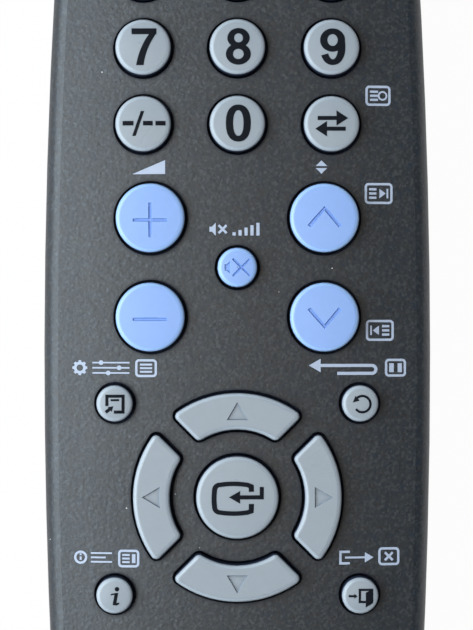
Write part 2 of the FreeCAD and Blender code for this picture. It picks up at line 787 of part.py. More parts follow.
def round_key(key):
    """A turned key: plunger, flange, body and a face that is slightly domed."""
    body = new_body(key.name, key.x, key.y)
    sketch = sketch_on(body, "XZ_Plane")
    plunger = key.radius - S.plunger_inset
    flange = key.radius + S.flange_width
    top = key.top()
    corners = [
        (ZERO, PLUNGER_FOOT),
        (plunger, PLUNGER_FOOT),
        (plunger, FLANGE_FOOT),
        (flange, FLANGE_FOOT),
        (flange, FLANGE_TOP),
        (key.radius, FLANGE_TOP),
        (key.radius, top - S.key_dome),
    ]
    points = [(x.number, y.number) for x, y in corners]
    sides = [line(sketch, p, q) for p, q in zip(points, points[1:])]
    radius, dome = key.radius.number, S.key_dome.number
    sphere = (radius**2 + dome**2) / (2 * dome)
    middle = (0.0, top.number - sphere)
    face = arc(sketch, middle, sphere, angle_from(middle, points[-1]), math.pi / 2)
    axis = line(sketch, (0.0, top.number), points[0])
    for first, second in zip(sides, sides[1:]):
        join(sketch, (first, END), (second, START))
    join(sketch, (sides[-1], END), (face, START))
    join(sketch, (face, END), (axis, START))
    join(sketch, (axis, END), (sides[0], START))
    for index, (x, y) in zip(sides, corners):
        place(sketch, (index, START), x, y)
    place(sketch, (sides[-1], END), *corners[-1])
    place(sketch, (axis, START), ZERO, top)
    sketch.addConstraint(
        Sketcher.Constraint("PointOnObject", face, CENTRE, VERTICAL_AXIS)
    )
    feature = turned(body, sketch)
    rim = edges_where(feature, at_height(top - S.key_dome))
    dress(body, "Fillet", feature, rim, S.key_edge)
    if key.mark:
        engrave(body, top, [corners() for corners in MARKS[key.mark]])
    return body


def stacked_key(body, draw, top):
    """A key that isn't round, stacked from its plunger, flange and body."""
    sketch = sketch_on(body, offset=PLUNGER_FOOT)
    draw(sketch, -S.plunger_inset)
    add_pad(body, sketch, FLANGE_FOOT - PLUNGER_FOOT)
    sketch = sketch_on(body, offset=FLANGE_FOOT)
    draw(sketch, S.flange_width)
    add_pad(body, sketch, FLANGE_TOP - FLANGE_FOOT)
    sketch = sketch_on(body, offset=FLANGE_TOP)
    draw(sketch, ZERO)
    return add_pad(body, sketch, top - FLANGE_TOP)


def long_key(key):
    body = new_body(key.name, key.x, key.y)
    top = key.top()
    feature = stacked_key(
        body, lambda sketch, grow: key.draw(sketch, grow, there=False), top
    )
    dress(body, "Fillet", feature, edges_where(feature, at_height(top)), S.key_edge)


def draw_sector(sketch, grow):
    sector(
        sketch,
        S.ring_outer_radius + grow,
        S.ring_inner_radius - grow,
        S.ring_half_gap - grow,
    )


def ring_key(name, turn):
    """One of the four keys of the ring, drawn towards +Y and turned into place."""
    body = new_body(name, rotation=Rotation(Vector(0, 0, 1), turn))
    middle = (S.ring_outer_radius + S.ring_inner_radius) / 2
    sideways = middle if turn in (90, 270) else ZERO
    top = S.body_height - sideways * sideways / (S.crown_radius * 2) + S.ring_key_proud
    feature = stacked_key(body, draw_sector, top)
    corners = edges_where(
        feature,
        lambda box: abs(box.ZMax - top.number) < NEAR
        and abs(box.ZMin - FLANGE_TOP.number) < NEAR
        and box.XLength < NEAR
        and box.YLength < NEAR,
    )
    feature = dress(body, "Fillet", feature, corners, S.ring_corner)
    dress(body, "Fillet", feature, edges_where(feature, at_height(top)), S.key_edge)
    foot = S.arrow_radius
    engrave(
        body,
        top,
        [
            [
                (-S.arrow_half_width, foot),
                (S.arrow_half_width, foot),
                (ZERO, foot + S.arrow_height),
            ]
        ],
    )


def touch_dot(body, key):
    """The small raised dot that a thumb finds on the five."""
    sketch = sketch_on(body, offset=key.top() - S.key_dome)
    circle(sketch, ZERO, -key.radius * 0.6, S.touch_dot_radius)
    feature = add_pad(body, sketch, S.key_dome + S.touch_dot_rise)
    rise = key.top() + S.touch_dot_rise
    dress(body, "Fillet", feature, edges_where(feature, at_height(rise)), S.touch_dot_rise * 0.6)


# Shells


def lower_hull(body):
    """The outside of the lower shell: leaning walls and a rounded belly."""
    sketch = sketch_on(body, offset=S.split_height)
    CASE.draw(sketch, ZERO)
    feature = add_pad(body, sketch, S.split_height, up=False, draft=S.lower_draft)
    base = edges_where(feature, at_height(ZERO))
    return dress(body, "Fillet", feature, base, S.belly_radius)


def hollow(body):
    """Takes out the inside of the lower shell, down to a floor with a round along it."""
    sketch = sketch_on(body, offset=S.split_height)
    CASE.draw(sketch, S.wall)
    depth = S.split_height - S.wall
    feature = add_pocket(body, sketch, depth, up=False, draft=S.lower_draft)
    inside = edges_where(feature, at_height(S.wall))
    return dress(body, "Fillet", feature, inside, S.belly_radius - S.wall)


def bulkhead(body):
    """The upright wall in front of the battery bay, rooted in the walls and the floor."""
    side = CASE.tail_half_width(-S.cover_y)
    lean = slope(S.lower_draft)
    top = side - S.wall / 2
    low = top - (S.split_height - S.belly_radius) * lean
    foot = side - S.split_height * lean - S.belly_radius
    right = [(foot, S.wall / 2), (low, S.belly_radius), (top, S.split_height)]
    sketch = sketch_on(body, "XZ_Plane", offset=S.cover_y)
    polygon(sketch, right + [(-x, z) for x, z in reversed(right)])
    add_pad(body, sketch, S.rib, up=False)


def lower_housing():
    """The tray: floor and walls, a bulkhead, a deck over the battery bay, and standoffs."""
    body = new_body("lower_housing")
    feature = lower_hull(body)
    rim = edges_where(feature, at_height(S.split_height))
    dress(body, "Chamfer", feature, rim, S.parting_chamfer)

    hollow(body)

    sketch = sketch_on(body, offset=S.split_height)
    CASE.draw(sketch, S.wall / 2, behind=S.rib - S.cover_y)
    add_pad(body, sketch, S.rib, up=False)
    bulkhead(body)

    sketch = sketch_on(body, offset=-as_size(OUTWARDS))
    rectangle(sketch, -S.body_width, S.body_width, -S.body_length, -S.cover_y)
    add_pocket(body, sketch, S.cover_height + OUTWARDS)

    battery_bay(body)
    for x in (-S.standoff_x, S.standoff_x):
        standoffs(body, x)
    lower_openings(body)
    return body


def battery_bay(body):
    """The walls that hang from the deck round the cells, with a ledge on each side."""
    outside = BAY_HALF_WIDTH + S.rib
    drop = DECK_UNDERSIDE - S.bay_wall_foot
    overlap = S.rib / 2
    sketch = sketch_on(body, offset=DECK_UNDERSIDE + overlap)
    rectangle(sketch, -outside, outside, BAY_TAIL - S.rib, BAY_FRONT + S.rib)
    rectangle(sketch, -BAY_HALF_WIDTH, BAY_HALF_WIDTH, BAY_TAIL, BAY_FRONT)
    add_pad(body, sketch, drop + overlap, up=False)
    inside = BAY_HALF_WIDTH + S.rib / 2
    for hand in (-1, 1):
        sketch = sketch_on(body, offset=S.ledge_foot)
        near, far = inside * hand, (outside + S.ledge_width) * hand
        left, right = (near, far) if hand == 1 else (far, near)
        rectangle(sketch, left, right, BAY_TAIL, BAY_FRONT)
        add_pad(body, sketch, S.ledge_thickness)


def standoffs(body, x):
    """The pegs under the circuit board, on the floor and on the deck."""
    sketch = sketch_on(body, offset=S.wall / 2)
    for y in (S.standoff_front_y, S.standoff_middle_y, S.standoff_rear_y):
        circle(sketch, x, y, S.standoff_radius)
    add_pad(body, sketch, S.board_underside - S.wall / 2)
    sketch = sketch_on(body, offset=S.split_height - S.rib / 2)
    circle(sketch, x, -S.standoff_deck_y, S.standoff_radius)
    add_pad(body, sketch, S.board_underside - S.split_height + S.rib / 2)


def latch_sides(hand):
    """The left and right side of a latch tongue, on the side that hand says."""
    near = S.latch_inner_x * hand
    far = (S.latch_inner_x + S.latch_width) * hand
    return (near, far) if hand == 1 else (far, near)


def lower_openings(body):
    """Latch slots, contact slots, screw holes and the lower half of the window."""
    foot = S.wall + S.latch_gap
    sketch = sketch_on(body, "XZ_Plane", offset=S.cover_y + S.rib)
    for hand in (-1, 1):
        left, right = latch_sides(hand)
        rectangle(
            sketch,
            left - S.latch_gap,
            right + S.latch_gap,
            S.wall,
            foot + S.latch_thickness + S.latch_gap,
        )
    add_pocket(body, sketch, S.rib * 3, up=False)

    sketch = sketch_on(body, offset=S.split_height + OUTWARDS)
    for x in (-CELL_X, CELL_X):
        rectangle(
            sketch,
            x - S.tab_half_width - S.tab_clearance,
            x + S.tab_half_width + S.tab_clearance,
            BAY_FRONT - S.plate_thickness - S.tab_clearance,
            BAY_FRONT + S.tab_clearance,
        )
    for x in (-S.screw_x, S.screw_x):
        circle(sketch, x, -S.screw_y, S.screw_radius + S.screw_hole_clearance)
    add_pocket(body, sketch, S.rib + OUTWARDS, up=False)
    window_opening(body, S.window_foot, S.split_height + OUTWARDS)


def window_opening(body, low, high):
    """A notch in the front wall that the infrared window fills."""
    sketch = sketch_on(body, "XZ_Plane", offset=-S.window_cut_y)
    side = S.window_half_width + S.window_gap
    rectangle(sketch, -side, side, low - S.window_gap, high + S.window_gap)
    add_pocket(body, sketch, S.body_length, up=False)


def crown_cut(body):
    """Takes the flat top down to a gentle crown across the width."""
    sketch = sketch_on(body, "XZ_Plane")
    reach = S.body_width
    radius = S.crown_radius
    centre = S.body_height - radius
    lean = math.acos(reach.number / radius.number)
    face = arc(sketch, (0.0, centre.number), radius.number, lean, math.pi - lean)
    drop = centre.number + math.sqrt(radius.number**2 - reach.number**2)
    high = S.body_height + OUTWARDS
    left = line(sketch, (-reach.number, drop), (-reach.number, high.number))
    over = line(sketch, (-reach.number, high.number), (reach.number, high.number))
    right = line(sketch, (reach.number, high.number), (reach.number, drop))
    for first, second in ((face, left), (left, over), (over, right), (right, face)):
        join(sketch, (first, END), (second, START))
    place(sketch, (face, CENTRE), ZERO, centre)
    fix(sketch, "Radius", face, size=radius)
    place(sketch, (over, START), -reach, high)
    place(sketch, (over, END), reach, high)
    fix(sketch, "DistanceX", left, START, size=-reach)
    fix(sketch, "DistanceX", right, END, size=reach)
    return add_pocket(body, sketch, both=True)


def upper_hull(body):
    """The outside of the upper shell: leaning walls, a crowned face and a round edge."""
    sketch = sketch_on(body, offset=S.split_height)
    CASE.draw(sketch, ZERO)
    rise = S.body_height - S.split_height
    add_pad(body, sketch, rise, draft=S.upper_draft)
    feature = crown_cut(body)
    level = S.split_height.number + rise.number * 0.6
    face_edges = edges_where(feature, lambda box: box.ZMin > level)
    return dress(body, "Fillet", feature, face_edges, S.top_edge_radius)


def lip(body):
    """The ring that drops into the lower shell, as far back as the deck."""
    inner = S.wall + S.lip_gap + S.lip_width
    sketch = sketch_on(body, offset=S.split_height)
    CASE.draw(sketch, S.wall)
    CASE.draw(sketch, inner)
    add_pad(body, sketch, S.lip_root)
    sketch = sketch_on(body, offset=S.split_height + S.lip_root / 2)
    CASE.draw(sketch, S.wall + S.lip_gap)
    CASE.draw(sketch, inner)
    add_pad(body, sketch, S.lip_drop + S.lip_root / 2, up=False)
    sketch = sketch_on(body, offset=S.split_height)
    behind = S.rib + S.lip_gap - S.cover_y
    rectangle(sketch, -S.body_width, S.body_width, -S.body_length, behind)
    add_pocket(body, sketch, S.lip_drop * 2, up=False)


def upper_housing():
    """The key face: crowned top, walls, key holes, posts and screw bosses."""
    body = new_body("upper_housing")
    feature = upper_hull(body)
    rim = edges_where(feature, at_height(S.split_height))
    dress(body, "Chamfer", feature, rim, S.parting_chamfer)

    sketch = sketch_on(body, offset=S.split_height)
    CASE.draw(sketch, S.wall)
    add_pocket(body, sketch, S.ceiling_height - S.split_height, draft=S.upper_draft)
    lip(body)

    sketch = sketch_on(body, offset=S.ceiling_height + S.wall / 4)
    for x in (-S.screw_x, S.screw_x):
        circle(sketch, x, -S.screw_y, S.boss_radius)
    add_pad(body, sketch, S.ceiling_height + S.wall / 4 - S.split_height, up=False)
    sketch = sketch_on(body, offset=S.split_height)
    for x in (-S.screw_x, S.screw_x):
        circle(sketch, x, -S.screw_y, S.screw_radius + S.boss_bore_gap)
    add_pocket(body, sketch, S.screw_bite + S.wall / 4)

    sketch = sketch_on(body, offset=S.ceiling_height + S.wall / 4)
    for x, y in post_places():
        circle(sketch, x, y, S.post_radius)
    foot = S.board_underside + S.post_short
    add_pad(body, sketch, S.ceiling_height + S.wall / 4 - foot, up=False)

    window_opening(body, S.split_height - S.lip_drop * 2, S.window_top)
    key_holes(body)
    return body


def post_places():
    for y in (S.post_front_y, S.post_middle_y, -S.post_tail_y):
        for hand in (-0.5, 0.5):
            yield S.post_spacing * hand, y


def in_ring(box):
    """A test for upright edges among the ring keys' holes."""
    reach = math.hypot(box.Center.x, box.Center.y)
    return (
        max(box.XLength, box.YLength) < NEAR
        and S.enter_key_radius.number * 1.2 < reach < S.ring_outer_radius.number * 1.1
    )


def key_holes(body):
    """One hole for each key, wider than the key all round."""
    sketch = sketch_on(body, offset=S.body_height + OUTWARDS)
    for key in PLAIN_KEYS:
        key.draw(sketch, S.key_gap)
    add_pocket(body, sketch, up=False)
    for _, turn in RING_KEYS:
        sketch = sketch_on(body, offset=S.body_height + OUTWARDS)
        sketch.AttachmentOffset = FreeCAD.Placement(
            Vector(), Rotation(Vector(0, 0, 1), turn)
        )
        draw_sector(sketch, S.key_gap)
        feature = add_pocket(body, sketch, up=False)
    corners = edges_where(feature, in_ring)
    dress(body, "Fillet", feature, corners, S.ring_corner + S.key_gap)


def battery_cover():
    """The sliding cover: the tail of the belly, hooks on ledges and two latch tongues."""
    body = new_body("battery_cover")
    lower_hull(body)
    hollow(body)
    sketch = sketch_on(body, offset=S.cover_height - S.cover_gap)
    rectangle(sketch, -S.body_width, S.body_width, -S.body_length, S.body_length)
    add_pocket(body, sketch)
    sketch = sketch_on(body, offset=S.cover_height)
    front = -S.cover_y - S.cover_gap
    rectangle(sketch, -S.body_width, S.body_width, front, S.body_length)
    add_pocket(body, sketch, up=False)

    near = BAY_HALF_WIDTH + S.rib + S.ledge_width + S.hook_gap
    reach = BAY_HALF_WIDTH + S.rib + S.hook_gap
    under = S.ledge_foot + S.ledge_thickness + S.hook_gap
    for hand in (-1, 1):
        sketch = sketch_on(body, "XZ_Plane", offset=S.hook_front_y)
        hook = [
            (near * hand, S.wall / 2),
            ((near + S.hook_wall) * hand, S.wall / 2),
            ((near + S.hook_wall) * hand, under + S.hook_wall),
            (reach * hand, under + S.hook_wall),
            (reach * hand, under),
            (near * hand, under),
        ]
        polygon(sketch, hook if hand == 1 else hook[::-1])
        add_pad(body, sketch, S.hook_tail_y - S.hook_front_y)
        latch_tongue(body, hand, front)
    finger_grooves(body)
    return body


def latch_tongue(body, hand, front):
    """A tongue that reaches through the bulkhead, over the floor of the lower shell."""
    left, right = latch_sides(hand)
    foot = S.wall + S.latch_gap
    sketch = sketch_on(body, "YZ_Plane", offset=left)
    polygon(
        sketch,
        [
            (front - S.latch_root, S.wall / 2),
            (front, S.wall / 2),
            (front, foot),
            (front + S.latch_reach, foot),
            (front + S.latch_reach, foot + S.latch_thickness),
            (front - S.latch_root, foot + S.latch_thickness),
        ],
    )
    add_pad(body, sketch, right - left)


def finger_grooves(body):
    """Grooves for a thumb and an arrow, cut into the cover's underside."""
    sketch = sketch_on(body)
    for number in range(GRIP_GROOVES):
        y = -(S.grip_first_y + S.grip_pitch * number)
        rectangle(sketch, -S.grip_half_width, S.grip_half_width, y - S.grip_width, y)
    foot = y - S.grip_width - S.push_arrow_gap
    half = S.push_arrow_half_width
    polygon(sketch, [(-half, foot), (ZERO, foot - S.push_arrow_length), (half, foot)])
    add_pocket(body, sketch, S.grip_depth)


def ir_window():
    """The dark window in the front wall: a piece of both shells' outside."""
    body = new_body("ir_window")
    sketch = sketch_on(body, offset=S.split_height)
    CASE.draw(sketch, ZERO)
    add_pad(body, sketch, S.split_height, up=False, draft=S.lower_draft)
    sketch = sketch_on(body, offset=S.split_height)
    CASE.draw(sketch, ZERO)
    add_pad(body, sketch, S.body_height - S.split_height, draft=S.upper_draft)
    sketch = sketch_on(body, "XZ_Plane")
    far = S.body_width
    side = S.window_half_width
    rectangle(sketch, -far, far, -far, far)
    rectangle(sketch, -side, side, S.window_foot, S.window_top)
    add_pocket(body, sketch, both=True)
    sketch = sketch_on(body, offset=-far)
    back = S.wall - S.window_gap
    behind = HALF_LENGTH - S.front_end_radius
    middle = (0.0, behind.number)
    radius = S.front_end_radius - back
    reach = S.window_half_width + S.wall
    lean = math.acos(reach.number / radius.number)
    edge = arc(sketch, middle, radius.number, lean, math.pi - lean)
    height = middle[1] + math.sqrt(radius.number**2 - reach.number**2)
    tail = -HALF_LENGTH - OUTWARDS
    left = line(sketch, (-reach.number, height), (-reach.number, tail.number))
    base = line(sketch, (-reach.number, tail.number), (reach.number, tail.number))
    right = line(sketch, (reach.number, tail.number), (reach.number, height))
    for first, second in ((edge, left), (left, base), (base, right), (right, edge)):
        join(sketch, (first, END), (second, START))
    place(sketch, (edge, CENTRE), ZERO, behind)
    fix(sketch, "Radius", edge, size=radius)
    place(sketch, (base, START), -reach, tail)
    place(sketch, (base, END), reach, tail)
    fix(sketch, "DistanceX", left, START, size=-reach)
    fix(sketch, "DistanceX", right, END, size=reach)
    add_pocket(body, sketch)
    return body


# What the case holds


def board_outline(sketch, margin):
    """The board's rectangle with its corners cut off and a notch for the emitter."""
    x = S.board_half_width - margin
    front, tail = S.board_front - margin, margin - S.board_tail
    far, near = S.board_front_corner, S.board_tail_corner
    notch = S.emitter_rim_radius + S.board_notch_gap + margin
    notch_y = S.emitter_back_y - S.board_notch_gap - margin
    right = [
        (x - near, tail),
        (x, tail + near),
        (x, front - far),
        (x - far, front),
        (notch, front),
        (notch, notch_y),
    ]
    polygon(sketch, right + [(-across, y) for across, y in reversed(right)])


def circuit_board():
    body = new_body("circuit_board")
    sketch = sketch_on(body, offset=S.board_underside)
    board_outline(sketch, ZERO)
    for x, y in post_places():
        circle(sketch, x, y, S.post_radius + S.post_clearance)
    add_pad(body, sketch, S.board_thickness)


def contact_pads():
    """A pair of carbon pads would lie here; each pad stands for its pair."""
    body = new_body("contact_pads")
    body.AllowCompound = True
    sketch = sketch_on(body, offset=BOARD_TOP)
    for key in PLAIN_KEYS:
        circle(sketch, key.x, key.y, pad_radius(key))
    middle = (S.ring_outer_radius + S.ring_inner_radius) / 2
    for x, y in ((ZERO, middle), (ZERO, -middle), (middle, ZERO), (-middle, ZERO)):
        circle(sketch, x, y, S.pad_radius)
    add_pad(body, sketch, S.pad_thickness)


def pad_radius(key):
    """A pad fits inside its key's hole in the sheet."""
    hole = key.radius - S.plunger_inset + S.plunger_clearance
    if hole.number > S.pad_radius.number:
        return S.pad_radius
    return hole - S.plunger_clearance / 2


def keypad_sheet():
    """The silicone sheet that lies on the board and lets the plungers through."""
    body = new_body("keypad_sheet")
    sketch = sketch_on(body, offset=BOARD_TOP)
    board_outline(sketch, S.sheet_margin)
    shrink = S.plunger_clearance - S.plunger_inset
    for key in PLAIN_KEYS:
        key.draw(sketch, shrink)
    for x, y in post_places():
        circle(sketch, x, y, S.post_radius + S.post_clearance)
    add_pad(body, sketch, S.sheet_thickness)
    for _, turn in RING_KEYS:
        sketch = sketch_on(body, offset=SHEET_TOP)
        sketch.AttachmentOffset = FreeCAD.Placement(
            Vector(), Rotation(Vector(0, 0, 1), turn)
        )
        draw_sector(sketch, shrink)
        add_pocket(body, sketch, up=False)


def battery(name, x, towards_front):
    """A cell along Y, its nub towards the front or the tail."""
    flat = BAY_TAIL + S.plate_thickness + S.spring_length
    nub_down = BAY_FRONT - S.plate_thickness - S.spring_length
    y = flat if towards_front else nub_down
    turn = -90 if towards_front else 90
    body = new_body(name, x, y, CELL_HEIGHT, Rotation(Vector(1, 0, 0), turn))
    sketch = sketch_on(body)
    circle(sketch, ZERO, ZERO, S.cell_radius)
    feature = add_pad(body, sketch, S.cell_length)
    ends = edges_where(
        feature, lambda box: box.ZLength < NEAR and box.XLength > S.cell_radius.number
    )
    dress(body, "Fillet", feature, ends, S.cell_edge)
    sketch = sketch_on(body, offset=S.cell_length)
    circle(sketch, ZERO, ZERO, S.cell_nub_radius)
    add_pad(body, sketch, S.cell_nub_length)


def contact_plate(name, centres, dimples, tab):
    """An upright plate at an end of the bay, with dimples for nubs and a solder tab."""
    at_front = tab
    back = BAY_FRONT if at_front else BAY_TAIL + S.plate_thickness
    face = BAY_FRONT - S.plate_thickness if at_front else BAY_TAIL + S.plate_thickness
    body = new_body(name)
    low, high = CELL_HEIGHT - S.plate_half_height, CELL_HEIGHT + S.plate_half_height
    sketch = sketch_on(body, "XZ_Plane", offset=-back)
    left = centres[0] - S.plate_half_width
    right = centres[-1] + S.plate_half_width
    if tab:
        stem = S.tab_half_width
        polygon(
            sketch,
            [
                (left, low),
                (right, low),
                (right, high),
                (centres[0] + stem, high),
                (centres[0] + stem, S.board_underside),
                (centres[0] - stem, S.board_underside),
                (centres[0] - stem, high),
                (left, high),
            ],
        )
    else:
        rectangle(sketch, left, right, low, high)
    add_pad(body, sketch, S.plate_thickness)
    for x in dimples:
        sketch = sketch_on(body, "XZ_Plane", offset=-face)
        circle(sketch, x, CELL_HEIGHT, S.dimple_radius)
        add_pad(body, sketch, S.dimple_rise, up=at_front)


def spring_point(turn):
    """A point on the wire's centre line, after so many turns from the plate."""
    wide, narrow = S.spring_wide_radius.number, S.spring_narrow_radius.number
    clear = S.spring_wire_radius.number + S.spring_seat_gap.number
    share = turn / SPRING_TURNS
    radius = wide + (narrow - wide) * share
    height = clear + (S.spring_length.number - 2 * clear) * share
    angle = 2 * math.pi * turn
    return Vector(radius * math.cos(angle), radius * math.sin(angle), height)


def spring_route():
    """Quarter turns of a cone, each an arc through three points."""
    edges = []
    for quarter in range(SPRING_TURNS * 4):
        points = [spring_point((quarter + part) / 4) for part in (0, 0.5, 1)]
        edges.append(Part.Arc(*points).toShape())
    return Part.Wire(edges)


def spring_gap():
    """The least gap between a turn of the spring and the next one."""
    samples = range((SPRING_TURNS - 1) * 36)
    apart = min(
        spring_point(n / 36).distanceToPoint(spring_point(n / 36 + 1)) for n in samples
    )
    return apart - 2 * S.spring_wire_radius.number


def battery_spring(name, x, at_tail):
    """A conical wire spring between its plate and the flat end of a cell."""
    route = spring_route()
    start = route.Edges[0].Vertexes[0].Point
    ring = Part.Circle(start, Vector(0, 1, 0), S.spring_wire_radius.number)
    section = Part.Wire([ring.toShape()])
    shape = route.makePipeShell([section], True, False)
    spring = doc.addObject("Part::Feature", name)
    spring.Label = name
    spring.Shape = shape
    plate = S.plate_thickness
    y = BAY_TAIL + plate if at_tail else BAY_FRONT - plate
    turn = Rotation(Vector(1, 0, 0), -90 if at_tail else 90)
    spring.Placement = FreeCAD.Placement(
        Vector(x.number, y.number, CELL_HEIGHT.number), turn
    )
    return spring


def housing_screws():
    """Two cross-head screws, up through the deck into the upper shell's bosses."""
    body = new_body("housing_screws")
    body.AllowCompound = True
    sketch = sketch_on(body, offset=DECK_UNDERSIDE)
    places = [(-S.screw_x, -S.screw_y), (S.screw_x, -S.screw_y)]
    for x, y in places:
        circle(sketch, x, y, S.screw_head_radius)
    add_pad(body, sketch, S.screw_head_height, up=False)
    sketch = sketch_on(body, offset=DECK_UNDERSIDE - S.screw_head_height / 2)
    for x, y in places:
        circle(sketch, x, y, S.screw_radius)
    add_pad(body, sketch, S.screw_head_height / 2 + S.rib + S.screw_bite)
    arm = S.screw_head_radius * 0.6
    for long_x, long_y in ((arm, S.screw_slot), (S.screw_slot, arm)):
        sketch = sketch_on(body, offset=DECK_UNDERSIDE - S.screw_head_height)
        for x, y in places:
            rectangle(sketch, x - long_x, x + long_x, y - long_y, y + long_y)
        add_pocket(body, sketch, S.screw_slot_depth)


def ir_led():
    """The infrared emitter: a clear lens with a rim at its back, pointing forwards."""
    body = new_body(
        "ir_led", ZERO, S.emitter_back_y, S.emitter_height, Rotation(Vector(1, 0, 0), -90)
    )
    sketch = sketch_on(body)
    circle(sketch, ZERO, ZERO, S.emitter_rim_radius)
    add_pad(body, sketch, S.emitter_rim_length)
    sketch = sketch_on(body, offset=S.emitter_rim_length)
    circle(sketch, ZERO, ZERO, S.emitter_radius)
    feature = add_pad(body, sketch, S.emitter_length - S.emitter_rim_length)
    tip = edges_where(feature, at_height(S.emitter_length))
    dress(body, "Fillet", feature, tip, S.emitter_radius * 0.9)


def ir_led_leads():
    """Two wires from the emitter's back, under the board and up to it."""
    body = new_body("ir_led_leads")
    body.AllowCompound = True
    thick = S.lead_half_width * 2
    low, high = S.emitter_height - S.lead_half_width, S.emitter_height + S.lead_half_width
    for hand in (-1, 1):
        offset = S.lead_spacing / 2 * hand - S.lead_half_width
        sketch = sketch_on(body, "YZ_Plane", offset=offset)
        polygon(
            sketch,
            [
                (S.lead_end_y, low),
                (S.emitter_back_y, low),
                (S.emitter_back_y, high),
                (S.lead_end_y + thick, high),
                (S.lead_end_y + thick, S.board_underside),
                (S.lead_end_y, S.board_underside),
            ],
        )
        add_pad(body, sketch, thick)


def block_under_board(name, x, y, half_width, half_length, height):
    """A rectangular component on the board's underside."""
    body = new_body(name)
    body.AllowCompound = True
    sketch = sketch_on(body, offset=S.board_underside)
    for left, low in zip(x, y):
        rectangle(
            sketch, left - half_width, left + half_width, low - half_length, low + half_length
        )
    add_pad(body, sketch, height, up=False)


def filter_capacitor():
    """A can that lies across the board's underside."""
    body = new_body(
        "filter_capacitor",
        -S.capacitor_length / 2,
        -S.capacitor_y,
        S.board_underside - S.capacitor_radius,
        Rotation(Vector(0, 1, 0), 90),
    )
    sketch = sketch_on(body)
    circle(sketch, ZERO, ZERO, S.capacitor_radius)
    feature = add_pad(body, sketch, S.capacitor_length)
    ends = edges_where(feature, lambda box: box.ZLength < NEAR)
    dress(body, "Fillet", feature, ends, S.cell_edge)


def electronics():
    block_under_board(
        "controller_chip", [ZERO], [S.chip_y], S.chip_half_width, S.chip_half_length, S.chip_thickness
    )
    block_under_board(
        "resonator",
        [ZERO],
        [S.resonator_y],
        S.resonator_half_width,
        S.resonator_half_length,
        S.resonator_height,
    )
    rows = [S.resistor_y + S.resistor_pitch * number for number in range(RESISTORS)]
    block_under_board(
        "chip_resistors",
        [S.resistor_x] * RESISTORS,
        rows,
        S.resistor_half_length,
        S.resistor_half_width,
        S.resistor_thickness,
    )
    filter_capacitor()
    ir_led()
    ir_led_leads()


def keys():
    for key in PLAIN_KEYS:
        if key.half_length is None:
            body = round_key(key)
            if key.name == "key_5":
                touch_dot(body, key)
        else:
            long_key(key)
    for name, turn in RING_KEYS:
        ring_key(name, turn)


def power_supply():
    battery("battery_left", -CELL_X, True)
    battery("battery_right", CELL_X, False)
    contact_plate("front_positive_plate", [-CELL_X], [-CELL_X], tab=True)
    contact_plate("front_negative_plate", [CELL_X], [], tab=True)
    contact_plate("tail_bridge_plate", [-CELL_X, CELL_X], [CELL_X], tab=False)
    battery_spring("tail_spring", -CELL_X, at_tail=True)
    battery_spring("front_spring", CELL_X, at_tail=False)
    print(f"battery springs: least gap between turns {spring_gap():.2f} mm")


def write_parts():
    """Checks every object, then writes one file for each sub-part."""
    doc.recompute()
    for item in doc.Objects:
        if "Invalid" in item.State or "Error" in item.State:
            raise RuntimeError(f"{item.Label}: {item.State}")
    os.makedirs("parts", exist_ok=True)
    sub_parts = [
        item
        for item in doc.Objects
        if item.TypeId in ("PartDesign::Body", "Part::Feature")
    ]
    for item in sub_parts:
        if item.Shape.isNull() or not item.Shape.isValid():
            raise RuntimeError(f"{item.Label}: the shape is null or not valid")
        item.Shape.exportStep(f"parts/{item.Label}.step")
        solids = len(item.Shape.Solids)
        print(f"{item.Label}: {solids} solid(s), {item.Shape.Volume:.1f} mm3")
    print(f"{len(sub_parts)} sub-parts written")


upper_housing()
lower_housing()
battery_cover()
ir_window()
keypad_sheet()
circuit_board()
contact_pads()
electronics()
power_supply()
housing_screws()
keys()
write_parts()
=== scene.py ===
# %% [markdown]
# A television remote control, dressed for its picture. The shell, the keys and
# everything inside come from the CAD model and are already in place, so this
# script gives them their finishes, prints the signs on them, and sets up the
# floor, the light and the camera.

import json
import math

import bpy
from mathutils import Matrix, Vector
from mathutils.bvhtree import BVHTree
from mathutils.geometry import delaunay_2d_cdt

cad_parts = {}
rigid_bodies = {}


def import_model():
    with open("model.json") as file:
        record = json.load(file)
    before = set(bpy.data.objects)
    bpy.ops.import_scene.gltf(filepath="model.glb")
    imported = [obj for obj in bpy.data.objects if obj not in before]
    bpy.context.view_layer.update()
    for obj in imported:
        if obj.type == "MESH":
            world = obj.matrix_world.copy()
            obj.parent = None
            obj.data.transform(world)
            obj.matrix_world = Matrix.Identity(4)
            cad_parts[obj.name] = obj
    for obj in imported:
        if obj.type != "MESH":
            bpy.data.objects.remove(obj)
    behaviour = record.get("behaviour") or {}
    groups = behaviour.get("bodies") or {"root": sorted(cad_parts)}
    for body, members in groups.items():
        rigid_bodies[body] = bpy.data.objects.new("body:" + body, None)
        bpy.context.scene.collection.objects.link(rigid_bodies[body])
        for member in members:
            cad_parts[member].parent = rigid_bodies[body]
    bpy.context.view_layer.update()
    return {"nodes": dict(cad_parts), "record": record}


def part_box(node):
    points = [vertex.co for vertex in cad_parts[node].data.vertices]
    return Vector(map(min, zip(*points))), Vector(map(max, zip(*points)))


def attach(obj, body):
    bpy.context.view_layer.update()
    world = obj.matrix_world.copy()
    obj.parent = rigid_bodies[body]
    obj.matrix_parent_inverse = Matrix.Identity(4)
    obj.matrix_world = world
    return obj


for leftover in list(bpy.data.objects):
    bpy.data.objects.remove(leftover)

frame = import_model()
NODES = frame["nodes"]
MM = 0.001

# %% [markdown]
# The picture was taken straight from above, close enough that the tall keys
# lean outwards a little. A camera 26 cm over the keys gives that lean. It
# looks down without any turn, so the case runs up the picture.

# %% Camera
SCENE = bpy.context.scene
CAMERA_PLACE = (-0.0001, 0.02286, 0.2828)
FOCAL_LENGTH = 118.9
FRAME_WIDTH = 36
NEAREST = 0.01


